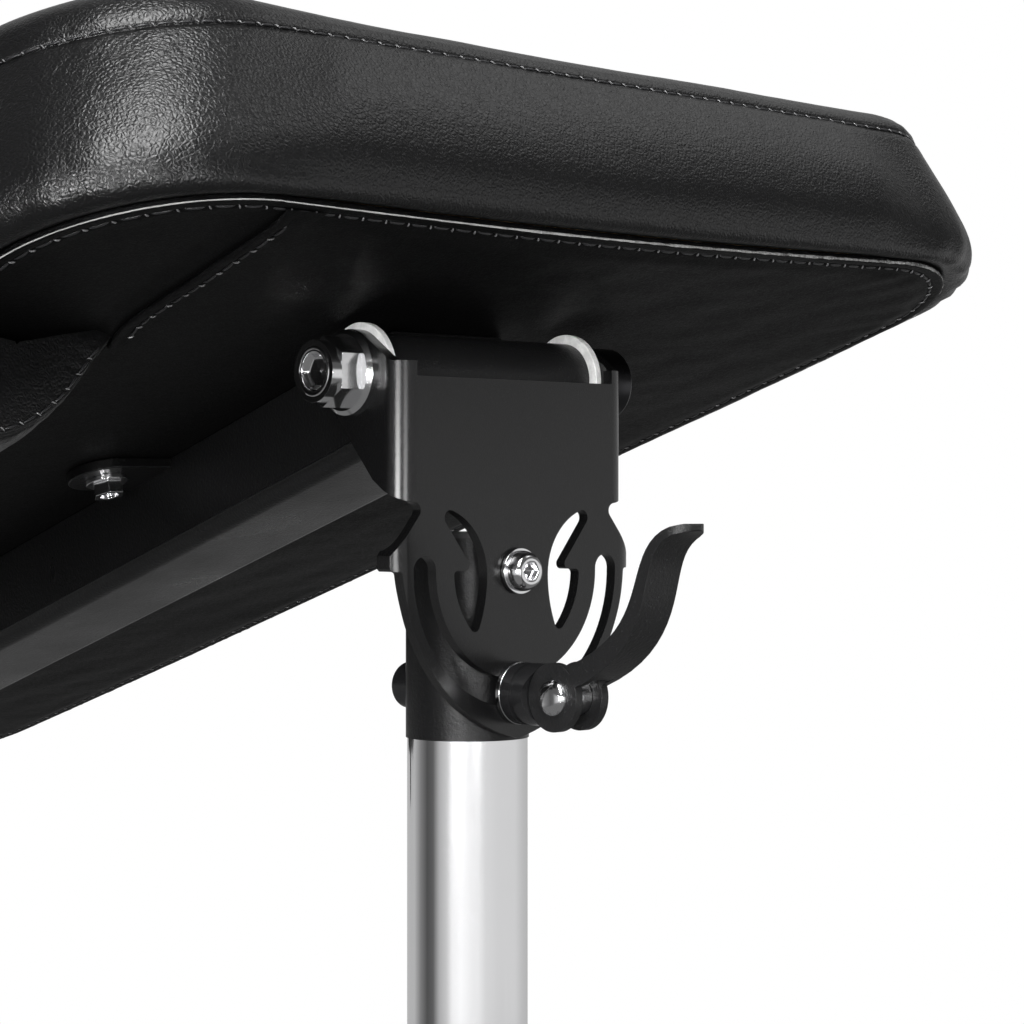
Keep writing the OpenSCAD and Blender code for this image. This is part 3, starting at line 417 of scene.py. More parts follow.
def pad_ring(lip=0.0, seam=0.0, inset=0.0):
    """The pad seen from above, between its three outlines: a share of the lip's and one of the seam's,
    the rest of the widest one, all taken in by inset and narrower far out: across times 1 - taper over
    half width times the square of the way past the taper's start."""
    pad = bpy.context.scene.arm_pad_sizes
    whole = np.array([-pad.half, pad.half, -pad.near, pad.far])
    inwards = np.array([1, -1, 1, -1])
    ring = 0.0
    for share, (inside, radii, sag_long, sag_short) in (
            (lip, LIP_OUTLINE), (seam, SEAM_OUTLINE), (1 - lip - seam, WIDE_OUTLINE)):
        box = whole + (np.array(inside) + inset) * inwards
        ring = ring + share * rounded_outline(box, [max(r - inset, LEAST_CORNER * r) for r in radii],
                                              sag_long, sag_short)
    far = np.clip((ring[:, 1] - pad.taper_from) / (pad.far - pad.taper_from), 0, None)
    ring[:, 0] *= 1 - pad.taper / pad.half * far**2
    return ring


def along(ring):
    """Distance along a closed ring of points, and its whole length."""
    step = np.linalg.norm(np.roll(ring, -1, axis=0) - ring, axis=1)
    return np.concatenate([[0], np.cumsum(step)[:-1]]), step.sum()


def way_round(ring):
    """Direction along a closed ring at each of its points."""
    return unit(np.roll(ring, -1, axis=0) - np.roll(ring, 1, axis=0))


def round_place(ring, radius=0.2):
    """Each point's place on a circle of that radius, so that waves over it close on themselves."""
    run, whole = along(ring)
    angle = 2 * math.pi * run / whole
    return np.stack([np.cos(angle), np.sin(angle)], 1) * radius


def gathers(ring, pitch, shift=0.0):
    """Sines along a closed ring, of about that pitch and a whole number of them, shifted by an angle."""
    run, whole = along(ring)
    return np.sin(2 * math.pi * np.round(whole / pitch) * run / whole + shift)


def corner_share(ring, size=0.052):
    """1 at the middle of a corner of the pad's outline, 0 along its sides."""
    pad = bpy.context.scene.arm_pad_sizes
    dx = ramp(np.abs(ring[:, 0]), pad.half - size, size)
    mid = (pad.far - pad.near) / 2
    dy = ramp(np.abs(ring[:, 1] - mid), (pad.far + pad.near) / 2 - size, size)
    return np.clip(4 * dx * dy, 0, 1)


def middle_line(ring):
    """The place on the line along the pad's middle that each point of a ring is drawn to."""
    pad = bpy.context.scene.arm_pad_sizes
    middle = ring.copy()
    middle[:, 0] = 0
    middle[:, 1] = np.clip(ring[:, 1], -pad.near + MIDDLE_END, pad.far - MIDDLE_END)
    return middle


def cover_rows(pad):
    """The cover's rings from the sewn lip to the top's flat part, and the row in the seam's groove. The
    side and the groove follow one section; the top's section is blended by the place across the pad."""
    side = smooth_path(SIDE_SECTION * [SHARE_LENGTH, SHARE_LENGTH, MM, MM], SIDE_ROWS)
    rings = []
    for lip, seam, inset, height in np.concatenate([
            side / [SHARE_LENGTH, SHARE_LENGTH, 1, 1], GROOVE_SECTION * [1, 1, MM, MM]]):
        ring = pad_ring(lip, seam, inset)
        rings.append(np.column_stack([ring, pad.under + height - pad.lean * seam * ring[:, 0]]))
    share = ease(ramp(-pad_ring(seam=1.0)[:, :1], LEFT_FROM, LEFT_OVER))
    for left, right in zip(smooth_path(TOP_LEFT * MM, TOP_ROWS), smooth_path(TOP_RIGHT * MM, TOP_ROWS)):
        ring = share * pad_ring(seam=1.0, inset=left[0]) + (1 - share) * pad_ring(seam=1.0, inset=right[0])
        height = share[:, 0] * left[1] + (1 - share[:, 0]) * right[1]
        rings.append(np.column_stack([ring, pad.under + height - pad.lean * ring[:, 0]]))
    return np.array(rings), len(side) + 1


def grid_normals(rings):
    """Unit normals of a grid of closed rings, from the way round a ring times the way up the rings."""
    around = np.roll(rings, -1, axis=1) - np.roll(rings, 1, axis=1)
    return unit(np.cross(around, np.gradient(rings, axis=0)))


def toward_middle(last, height):
    """Rings that close a surface from its last ring onto the line along the pad's middle. Between the
    ring's height and the given one the share is the product of 1 minus the square of the way out across
    and 1 minus the fourth power of the way out along, so the top has no hips."""
    pad = bpy.context.scene.arm_pad_sizes
    blend = np.linspace(0, 1, MIDDLE_ROWS + 1)[1:, None, None]
    inner = last * (1 - blend) + middle_line(last) * blend
    half = np.abs(last[:, 0]).max()
    centre, reach = (last[:, 1].max() + last[:, 1].min()) / 2, np.ptp(last[:, 1]) / 2
    share = (1 - (inner[..., 0] / half)**2) * (1 - ((inner[..., 1] - centre) / reach)**4)
    edge = last[:, 2].mean() - pad.lean * inner[..., 0]
    smooth = edge + (height - last[:, 2].mean()) * share
    hold = np.clip(1 - blend[..., 0] / SECTION_HOLD, 0, 1)**2
    inner[..., 2] = last[:, 2] * hold + smooth * (1 - hold)
    return inner


def cover_surface():
    """The cover's rings of points in the pad's frame. A ring is the pad's outline at a row of the
    section; past the last row they close in on the middle. Puckers are sines along the seams that
    die away from them within millimetres and are higher at the corners; the whole carries soft waves
    along its normals, a faint crease runs beside the upper seam, and between the corners the side
    bulges by half a sine from the lip to the seam and is drawn in above the lip."""
    pad = bpy.context.scene.arm_pad_sizes
    rings, groove_row = cover_rows(pad)
    rings = np.concatenate([rings, toward_middle(rings[-1], pad.under + pad.crown)])
    outline, around = rings[0][:, :2], rings[WAVE_ROW][:, :2]
    section = rings[:, SECTION_COLUMN]
    run = run_along(section)
    seam_run = run[groove_row]
    lip_run = run[np.argmin(section[:SIDE_ROWS, 2])]
    low = np.exp(-np.abs(run - lip_run) / LIP_REACH)[:, None]
    high = np.exp(-np.abs(run - seam_run) / SEAM_REACH)[:, None]
    wobble = waves(round_place(around), 0.05, seed=4)
    slack = 1 + waves(round_place(around), 0.12, seed=5, octaves=2)
    pucker = gathers(around, PUCKER_PITCH, 2.6 * wobble) * (
        PUCKER_SIDE + PUCKER_CORNER * corner_share(outline) + PUCKER_SLACK * slack)
    tight = gathers(around, GATHER_PITCH) * GATHER_HEIGHT
    edge = ramp(run, lip_run, LIP_FADE)[:, None]
    off_seam = ramp(np.abs(run - seam_run), 0, SEAM_FADE)[:, None]
    push = waves(rings, 0.15, seed=7, octaves=2) * pad.unevenness * edge * off_seam
    push = push + waves(rings, 0.036, seed=9, octaves=2) * pad.unevenness * 0.22 * edge
    push = push + pucker[None] * (low * edge + 0.45 * high * off_seam) + tight[None] * high
    crease = np.exp(-((run - seam_run - CREASE_UP) / CREASE_WIDTH)**2)[:, None] * CREASE_DEPTH
    push = push - crease * (0.65 + 0.35 * wobble)[None]
    up = ramp(run, lip_run, seam_run - lip_run)[:, None]
    tuck = TUCK_DEPTH * np.exp(-((rings[..., 2] - pad.under - TUCK_UP) / TUCK_UP)**2)
    tuck = tuck * (run < seam_run)[:, None]
    push = push + (pad.puff * np.sin(math.pi * up) - tuck) * (1 - corner_share(outline, 0.075))[None]
    normals = grid_normals(rings)
    normals[-MIDDLE_ROWS:] = UP
    return rings + normals * push[..., None]


# Finishes


def add_node(tree, kind, inputs=None, **settings):
    """A node with these settings, each input set to its value or linked from a socket."""
    made = tree.nodes.new(kind)
    for key, value in settings.items():
        setattr(made, key, value)
    for socket, value in (inputs or {}).items():
        if isinstance(value, bpy.types.NodeSocket):
            tree.links.new(value, made.inputs[socket])
        else:
            made.inputs[socket].default_value = value
    return made


class Finish:
    """A node-based material, put together socket by socket."""

    def __init__(self, name, colour, **inputs):
        self.material = bpy.data.materials.new(name)
        self.material.use_nodes = True
        self.tree = self.material.node_tree
        self.shader = self.tree.nodes["Principled BSDF"]
        self.shader.inputs["Base Color"].default_value = (*colour, 1)
        for socket, value in inputs.items():
            self.shader.inputs[socket.replace("_", " ")].default_value = value

    def node(self, kind, inputs, **settings):
        return add_node(self.tree, kind, inputs, **settings)

    def place(self, scale=(1, 1, 1)):
        """Object coordinates in metres, stretched by scale."""
        coordinates = self.node("ShaderNodeTexCoord", {}).outputs["Object"]
        return self.node("ShaderNodeMapping", {"Vector": coordinates, "Scale": scale}).outputs["Vector"]

    def noise(self, vector, scale, detail=3.0, roughness=0.55, distortion=0.0):
        return self.node("ShaderNodeTexNoise", {"Vector": vector, "Scale": scale, "Detail": detail,
                                                "Roughness": roughness, "Distortion": distortion}
                         ).outputs["Fac"]

    def cells(self, vector, scale, feature="F1"):
        return self.node("ShaderNodeTexVoronoi", {"Vector": vector, "Scale": scale}, feature=feature
                         ).outputs["Distance"]

    def spread(self, value, low, high, to_low, to_high):
        """value from low..high to to_low..to_high, held at the ends."""
        return self.node("ShaderNodeMapRange", {"Value": value, "From Min": low, "From Max": high,
                                                "To Min": to_low, "To Max": to_high}).outputs["Result"]

    def maths(self, operation, a, b):
        return self.node("ShaderNodeMath", {0: a, 1: b}, operation=operation).outputs[0]

    def mix(self, factor, low, high):
        """A colour between two, by factor."""
        return self.node("ShaderNodeMix", {"Factor": factor, 6: (*low, 1), 7: (*high, 1)},
                         data_type="RGBA").outputs[2]

    def bump(self, height, distance, strength=1.0, **after):
        return self.node("ShaderNodeBump", {"Height": height, "Distance": distance, "Strength": strength,
                                            **after}).outputs["Normal"]

    def done(self, **linked_to):
        """The material, with the shader's sockets linked to these outputs."""
        for socket, output in linked_to.items():
            self.tree.links.new(output, self.shader.inputs[socket.replace("_", " ")])
        return self.material


def tint(colour, share):
    return tuple(min(1.0, c * share) for c in colour)


def leather_finish(name, colour, grain, depth=0.00011, rough=(0.27, 0.38), gloss=0.46):
    """Fine crinkled leather: cells of the grain's size, bent by noise, with creases between them and
    folds over them, on broad soft waves; the creases are rougher and painted darker as shade, the folds
    lighter."""
    f = Finish(name, colour, Roughness=rough[1], Specular_IOR_Level=gloss)
    flat = f.place()
    bend = f.node("ShaderNodeTexNoise", {"Vector": flat, "Scale": 0.5 / grain, "Detail": 2.0})
    bent = f.node("ShaderNodeVectorMath", {0: bend.outputs["Color"], 1: (grain * 0.9,) * 3},
                  operation="MULTIPLY").outputs[0]
    moved = f.node("ShaderNodeVectorMath", {0: flat, 1: bent}, operation="ADD").outputs[0]
    crease = f.spread(f.cells(moved, 1 / grain, "DISTANCE_TO_EDGE"), 0.0, 0.32, 0.0, 1.0)
    fold = f.noise(moved, 0.62 / grain, 2.0, 0.5, 0.6)
    height = f.maths("ADD", f.maths("MULTIPLY", crease, 0.55), f.maths("MULTIPLY", fold, 1.3))
    soft = f.noise(flat, 26.0)
    painted_grain_shade = f.spread(height, 0.45, 1.1, 0.0, 1.0)
    return f.done(Normal=f.bump(height, depth, Normal=f.bump(soft, 0.0016, 0.25)),
                  Roughness=f.spread(height, 0.5, 1.4, rough[1], rough[0]),
                  # Painted shade: the colour is darker in the grain's creases and a little lighter on its
                  # folds
                  Base_Color=f.mix(painted_grain_shade, tint(colour, 0.55), tint(colour, 1.15)))


def coat_finish(name, colour, rough=(0.34, 0.46), speckle=0.5, gloss=0.45, lacquer=0.0, fine=1.0):
    """Satin powder coat: a fine orange peel, a few pale specks of texture and slow changes of gloss,
    under a clear lacquer where there is one; fine makes the peel and the specks smaller."""
    f = Finish(name, colour, Roughness=rough[0], Specular_IOR_Level=gloss, Coat_Weight=lacquer,
               Coat_Roughness=0.22)
    at = f.place()
    peel = f.noise(at, 1150.0 * fine, 3.0, 0.65)
    speck = f.spread(f.cells(at, 620.0 * fine), 0.03, 0.2, 1.0, 0.0)
    return f.done(Normal=f.bump(f.maths("ADD", peel, f.maths("MULTIPLY", speck, speckle)), 0.00016),
                  Roughness=f.spread(f.noise(at, 38.0), 0.3, 0.7, *rough),
                  Base_Color=f.mix(speck, colour, tint(colour, 3.2)))


def chrome_finish(name, colour, rough=0.07, streaks=(380.0, 380.0, 5.0)):
    """Chrome plating: nearly a mirror, with faint polishing streaks along the part and thin haze."""
    f = Finish(name, colour, Metallic=1.0, Roughness=rough)
    streak = f.noise(f.place(streaks), 1.0, 4.0, 0.6)
    haze = f.noise(f.place(), 60.0)
    return f.done(Normal=f.bump(streak, 0.00002, 0.35),
                  Roughness=f.maths("ADD", f.spread(streak, 0.3, 0.7, rough * 0.7, rough * 1.5),
                                    f.spread(haze, 0.35, 0.7, 0.0, rough * 0.5)),
                  Base_Color=f.mix(haze, tint(colour, 0.97), tint(colour, 1.02)))


def metal_finish(name, colour, rough=0.28, scale=300.0, worn=0.25):
    """Bare or plated metal: fine turning marks, cloudy gloss and a little darkening."""
    f = Finish(name, colour, Metallic=1.0, Roughness=rough)
    at = f.place()
    mark = f.noise(at, scale, 4.0, 0.65)
    cloud = f.noise(at, 70.0)
    return f.done(Normal=f.bump(mark, 0.00004, 0.4),
                  Roughness=f.spread(cloud, 0.3, 0.7, rough * 0.75, rough * 1.3),
                  Base_Color=f.mix(f.spread(cloud, 0.35, 0.75, 0.0, 1.0), colour, tint(colour, 1 - worn)))


def moulded_finish(name, colour, rough=(0.42, 0.58), scale=700.0, depth=0.00005):
    """Moulded plastic or rubber: fine texture of the mould, gloss that wanders, and painted shade in the
    lows of that texture, its highs a little lighter.
    """
    f = Finish(name, colour, Roughness=rough[1])
    at = f.place()
    texture = f.noise(at, scale, 3.0, 0.6)
    painted_low_shade = f.spread(texture, 0.4, 0.75, 0.0, 1.0)
    return f.done(Normal=f.bump(texture, depth, 0.6),
                  Roughness=f.spread(f.noise(at, 45.0), 0.3, 0.7, *rough),
                  # Painted shade: the colour is darker in the lows of the texture and a little lighter on
                  # its highs
                  Base_Color=f.mix(painted_low_shade, tint(colour, 0.86), tint(colour, 1.12)))


def thread_finish(name, colour):
    """Bonded thread: a fine twist across each stitch and a slight shine, with painted shade in the twist's
    grooves and painted sheen on its ridges.
    """
    f = Finish(name, colour, Roughness=0.38)
    twist = f.noise(f.place((2600.0, 2600.0, 900.0)), 1.0, 2.0)
    return f.done(Normal=f.bump(twist, 0.00008, 0.8), Roughness=f.spread(twist, 0.35, 0.7, 0.28, 0.5),
                  # Painted shade and sheen: the colour follows the twist, darker in its grooves and lighter
                  # on its ridges
                  Base_Color=f.mix(twist, tint(colour, 0.6), tint(colour, 1.6)))


def raw_edge_finish(name, colour):
    """The cut edge of the leather: pale cloth backing showing in patches through black."""
    f = Finish(name, colour, Roughness=0.85)
    at = f.place()
    patch = f.noise(at, 210.0, 4.0, 0.7)
    fibre = f.noise(at, 1700.0, 3.0, 0.7)
    across = f.node("ShaderNodeSeparateXYZ", {"Vector": at}).outputs["X"]
    pale = f.spread(across, -0.1, 0.08, 0.34, 0.0)
    total = f.maths("ADD", f.maths("ADD", patch, f.maths("MULTIPLY", fibre, 0.8)), pale)
    share = f.spread(total, 0.72, 1.2, 0.0, 1.0)
    return f.done(Base_Color=f.mix(share, (0.03, 0.03, 0.03), (0.36, 0.36, 0.355)),
                  Normal=f.bump(fibre, 0.0003, 0.9))


def wood_finish(name, colour):
    """Bare plywood: grain drawn out along the board and darker plies."""
    f = Finish(name, colour, Roughness=0.6)
    grain = f.noise(f.place((240.0, 14.0, 240.0)), 1.0, 4.0, 0.6, 0.4)
    return f.done(Base_Color=f.mix(grain, (0.36, 0.24, 0.13), (0.62, 0.46, 0.29)),
                  Normal=f.bump(grain, 0.0003, 0.4))


def recipes():
    """Each finish's maker and what it is given: a label, a colour and the maker's own values."""
    chosen = bpy.context.scene.arm_finishes
    leather, coat, chrome = tuple(chosen.leather), tuple(chosen.coat), tuple(chosen.chrome)
    return {
        "leather": (leather_finish, "grained leather", leather, chosen.grain),
        "under": (leather_finish, "underside leather", tint(leather, 0.7), chosen.grain * 0.8,
                  0.00005, (0.5, 0.62), 0.14),
        "coat": (coat_finish, "satin powder coat", coat),
        "plate_coat": (coat_finish, "lacquered powder coat", tint(coat, 0.5), (0.34, 0.46), 0.5, 0.05, 0.85,
                       2.2),
        "dark_coat": (coat_finish, "smooth powder coat", tint(coat, 0.7), (0.26, 0.36), 0.15, 0.3),
        "cast": (coat_finish, "textured powder coat", coat, (0.45, 0.6), 1.2),
        "chrome": (chrome_finish, "chrome plating", chrome),
        "small_chrome": (chrome_finish, "chrome fittings", chrome, 0.1, (500.0, 500.0, 500.0)),
        "zinc": (metal_finish, "bright zinc", (0.6, 0.6, 0.61)),
        "alloy": (metal_finish, "turned alloy", (0.74, 0.74, 0.75), 0.3),
        "brass": (metal_finish, "turned brass", (0.71, 0.52, 0.24), 0.25),
        "oxide": (metal_finish, "black oxide", (0.055, 0.055, 0.058), 0.3, 400.0, 0.5),
        "nylon": (moulded_finish, "white nylon", tuple(chosen.nylon), (0.32, 0.42), 500.0, 0.00003),
        "plastic": (moulded_finish, "moulded plastic", (0.014, 0.014, 0.0145)),
        "gloss_plastic": (moulded_finish, "glossy plastic", (0.010, 0.010, 0.0105), (0.16, 0.26), 500.0,
                          0.00002),
        "rubber": (moulded_finish, "foot rubber", (0.020, 0.020, 0.020), (0.62, 0.78), 1100.0, 0.00012),
        "thread": (thread_finish, "sewing thread", (0.014, 0.014, 0.015)),
        # Painted highlight: the ticks' thread is much paler than the stitches', for light caught at the
        # thread ends
        "tick_thread": (thread_finish, "thread ends", (0.11, 0.11, 0.112)),
        "raw_edge": (raw_edge_finish, "cut leather edge", (0.3, 0.3, 0.3)),
        "wood": (wood_finish, "bare plywood", (0.5, 0.36, 0.22)),
    }


FINISHES = {}


def finish(name):
    """The finish of that name, made the first time it is asked for."""
    if name not in FINISHES:
        maker, *values = recipes()[name]
        FINISHES[name] = maker(*values)
    return FINISHES[name]


# The pad


class ARMREST_OT_pad_cover(Operator):
    """The padded cover: crowned top, rolled sides and the seam between them"""
    bl_idname = "armrest.pad_cover"
    bl_label = "Pad cover"

    def execute(self, context):
        rings = cover_surface()
        piece = make_piece("pad_cover", from_pad(rings), grid_faces(*rings.shape[:2]), "leather")
        merge_close(piece.data, MERGE)
        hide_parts("arm_pad")
        return {"FINISHED"}


def fold_line(y):
    """Where the fold under the left of the pad runs: across, turning in a little at the bolster."""
    return FOLD_ACROSS + FOLD_TURN * ramp(y, 0, FOLD_LENGTH)**2


def under_height(x, y, inset):
    """Height of the leather under the pad, from the hinge: flat near its edge, swelling down softly
    inside the stitches but for the beam and the tabs, with dimples beside the hinge, wrinkles that run
    in from the edge, and a shallow recess outside the fold."""
    place = np.stack([x, y], -1)
    broad, fine = waves(place, 0.13, seed=21, octaves=2), waves(place, 0.026, seed=23, octaves=2)
    swell = SWELL + SWELL_BROAD * broad + SWELL_FINE * fine
    free = ramp(np.abs(x), HELD_HALF, HELD_EDGE) + ramp(-y, HELD_FRONT, HELD_FRONT_EDGE)
    swell = swell * np.clip(free, 0, 1)
    for side in (-1, 1):
        across = (x - side * DIMPLE_PLACE[0]) / DIMPLE_SIZE[0]
        swell = swell - DIMPLE_DEPTH * np.exp(-(across**2 + ((y - DIMPLE_PLACE[1]) / DIMPLE_SIZE[1])**2))
    swell = swell - ramp(fold_line(y) - x, 0, FOLD_STEP) * FOLD_DEPTH
    row = bpy.context.scene.arm_stitch_sizes.inset
    groove = np.exp(-((inset - row) / ROW_WIDTH)**2) * ROW_DEPTH
    swell = swell * ease(ramp(inset, SWELL_FROM, SWELL_OVER))
    return bpy.context.scene.arm_pad_sizes.under - swell + groove


class ARMREST_OT_pad_underside(Operator):
    """The leather under the pad, out to the raw edge of the sewn lip"""
    bl_idname = "armrest.pad_underside"
    bl_label = "Pad underside"

    def execute(self, context):
        under = context.scene.arm_pad_sizes.under
        edge = pad_ring(lip=1.0)
        share = np.concatenate([[0, 0.004, 0.009, 0.014, 0.018, 0.0215, 0.025, 0.0285, 0.032, 0.037, 0.044],
                                np.linspace(0.052, 0.2, 18)[:-1], np.linspace(0.2, 1, 90)])[:, None, None]
        rings = edge[None] * (1 - share) + middle_line(edge)[None] * share
        inset = np.linalg.norm(rings - edge[None], axis=-1)
        ripple = gathers(edge, RIPPLE_PITCH, 2.4 * waves(round_place(edge), 0.05, seed=24))
        ripple = ripple * (0.3 + 0.7 * corner_share(edge))
        height = under_height(rings[..., 0], rings[..., 1], inset)
        fade = ramp(inset, LIP_FADE, LIP_FADE) * np.exp(-inset / RIPPLE_REACH)
        height = height + ripple[None] * RIPPLE_HEIGHT * fade
        # The edge of the leather turns up into the seam, its last row tucked in behind it
        turned_up = [(edge, up) for up in (0.0019, 0.0012, 0.0004)]
        turned_up.insert(0, (pad_ring(lip=1.0, inset=0.0024), 0.0021))
        points = np.concatenate([
            [np.column_stack([row, np.full(len(row), under + up)]) for row, up in turned_up],
            np.concatenate([rings, height[..., None]], axis=-1)])
        piece = make_piece("pad_underside", from_pad(points), grid_faces(*points.shape[:2])[:, ::-1],
                           "under")
        merge_close(piece.data, MERGE)
        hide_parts("bottom_panel")
        self.fold()
        return {"FINISHED"}

    def fold(self):
        """The folded edge of the leather beside the bolster: a strip whose section rises out of the
        underside and rolls over at the fold, its height fading in from the pad's near edge."""
        start = FOLD_START - bpy.context.scene.arm_pad_sizes.near
        section = smooth_path(FOLD_SECTION * MM, 60)
        run = np.linspace(start, FOLD_END, 240)
        x = fold_line(run)[None] + section[:, :1]
        y = np.repeat(run[None], len(section), axis=0)
        ripple = 1 + 0.14 * waves(np.stack([x, y], -1), 0.012, seed=61, octaves=2)
        proud = section[:, 1:] * ramp(run, start, 0.006)[None] * ripple
        points = np.stack([x, y, under_height(x, y, WELL_INSIDE) - proud], axis=-1)
        piece = make_piece("underside_fold", from_pad(points), grid_faces(*points.shape[:2], closed=False),
                           "under")
        merge_close(piece.data, FINE_MERGE)


def thread_bits(centres, way, out, span, radius, arch, seed):
    """Short arcs of round thread: at each centre a tube of that span along way, its ends thinner and
    its middle standing out by arch along out, each turned a little by chance."""
    count, sides, rows = len(centres), 6, 7
    rng = np.random.default_rng(seed)
    way, out = unit(way), unit(out)
    across = unit(np.cross(way, out))
    way = unit(way + across * rng.uniform(-0.05, 0.05, (count, 1)))
    local = np.linspace(-0.5, 0.5, rows)
    line = (centres[:, None] + way[:, None] * (local * span)[None, :, None]
            + out[:, None] * ((1 - (2 * local)**4) * arch)[None, :, None])
    thick = radius * np.array([0.5, 0.85, 1.0, 1.0, 1.0, 0.85, 0.5])
    angle = np.arange(sides) * math.pi / 3
    spoke = np.cos(angle)[None, :, None] * across[:, None] + np.sin(angle)[None, :, None] * out[:, None]
    rings = line[:, :, None] + spoke[:, None] * thick[None, :, None, None]
    start = np.arange(count)[:, None, None] * sides * rows
    quads = (grid_faces(rows, sides)[None] + start).reshape(-1, 4)
    ends = np.array([np.arange(sides)[::-1], np.arange(sides) + sides * (rows - 1)])
    caps = (ends[None] + start).reshape(-1, sides)
    return rings.reshape(-1, 3), list(quads) + list(caps)


def sewn_row(name, path, out, pitch, radius, tick, seed, closed=True):
    """A row of stitches along a path of the pad's frame, and beside their ends small slanted ticks of
    thread that lie over the seam, their thread painted pale as a highlight; tick is the ticks' way along the
    path and along the way across."""
    path, out = from_pad(path), turn_to_pad(unit(np.broadcast_to(out, path.shape)))
    if closed:
        path, out = np.concatenate([path, path[:1]]), np.concatenate([out, out[:1]])
    run = run_along(path)
    count = int(round(run[-1] / pitch))
    rng = np.random.default_rng(seed)
    at = (np.arange(count) + 0.5) / count * run[-1] + rng.uniform(-0.03, 0.03, count) * pitch

    def sample(values, where):
        where = np.clip(where, 0, run[-1])
        return np.stack([np.interp(where, run, column) for column in values.T], axis=-1)

    def way_at(where):
        return unit(sample(path, where + 0.0004) - sample(path, where - 0.0004))

    out_at = unit(sample(out, at))
    points, faces = thread_bits(sample(path, at) - out_at * radius * 0.3, way_at(at), out_at,
                                pitch * STITCH_SHARE, radius, radius * 0.8, seed)
    make_piece(name, points, faces, "thread")
    ends = np.clip(at + pitch * 0.5, 0, run[-1])
    way, out_at = way_at(ends), unit(sample(out, ends))
    slant = unit(way * tick[0] + unit(np.cross(way, out_at)) * tick[1])
    points, faces = thread_bits(sample(path, ends) + out_at * radius * 0.5, slant, out_at,
                                pitch * TICK_SHARE, radius * TICK_THREAD, radius * 0.6, seed + 1)
    # The ticks take the pale thread, a painted highlight where the thread ends catch the light
    make_piece(name + "_ticks", points, faces, "tick_thread")


class ARMREST_OT_pad_seams(Operator):
    """The raw leather edge round the underside, and the rows of stitches"""
    bl_idname = "armrest.pad_seams"
    bl_label = "Pad seams"

    def execute(self, context):
        pad = context.scene.arm_pad_sizes
        stitch = context.scene.arm_stitch_sizes
        self.raw_edge(pad)
        row = pad_ring(lip=1.0, inset=stitch.inset)
        path = np.column_stack([row, under_height(row[:, 0], row[:, 1], stitch.inset)])
        sewn_row("lower_stitches", path, DOWN, stitch.lower_pitch, stitch.lower_thread, (0.5, 0.9), 41)
        row = pad_ring(seam=1.0, inset=UPPER_ROW_IN)
        path = np.column_stack([row, pad.under + UPPER_ROW_UP - pad.lean * row[:, 0]])
        out = unit(np.cross(way_round(path), UP)) * 0.85 + np.array([0, 0, 0.5])
        sewn_row("upper_stitches", path, out, stitch.upper_pitch, stitch.upper_thread, (0.6, 0.8), 43)
        run = np.linspace(-pad.near + FOLD_ROW_IN, FOLD_ROW_IN, 80)
        x = fold_line(run) + FOLD_ROW_BESIDE
        path = np.column_stack([x, run, under_height(x, run, WELL_INSIDE) - FOLD_ROW_BELOW])
        sewn_row("fold_stitches", path, DOWN, stitch.lower_pitch, stitch.lower_thread, (0.5, 0.9), 47,
                 closed=False)
        return {"FINISHED"}

    def raw_edge(self, pad):
        """The cut edge: a bead of 8 sides along the lip, flat and thin on the left, thicker and ragged
        towards the right."""
        edge = pad_ring(lip=1.0)
        fine = np.concatenate([edge * (1 - k / 4) + np.roll(edge, -1, axis=0) * (k / 4)
                               for k in range(4)], axis=1).reshape(-1, 2)
        place = round_place(fine, 0.3)
        rough = waves(place, 0.0045, seed=31)
        slow = waves(place, 0.05, seed=33, octaves=2)
        right = ramp(fine[:, 0], -0.10, 0.22)
        # Half the bead's height and half its width
        tall = 0.00017 + 0.00030 * right + (0.00004 + 0.00012 * right) * rough + 0.00006 * slow
        wide = 0.00030 + 0.00012 * np.roll(rough, 9)
        path = np.column_stack([fine, pad.under + 0.0003 + 0.0002 * right])
        out = unit(np.cross(way_round(path), UP))
        angle = np.linspace(-math.pi, math.pi, 8, endpoint=False)[:, None, None]
        bead = (path[None] + np.cos(angle) * out[None] * wide[None, :, None]
                + np.sin(angle) * np.array(UP) * tall[None, :, None])
        bead = np.concatenate([bead, bead[:1]])
        piece = make_piece("raw_edge", from_pad(bead), grid_faces(*bead.shape[:2]), "raw_edge")
        merge_close(piece.data, FINE_MERGE)


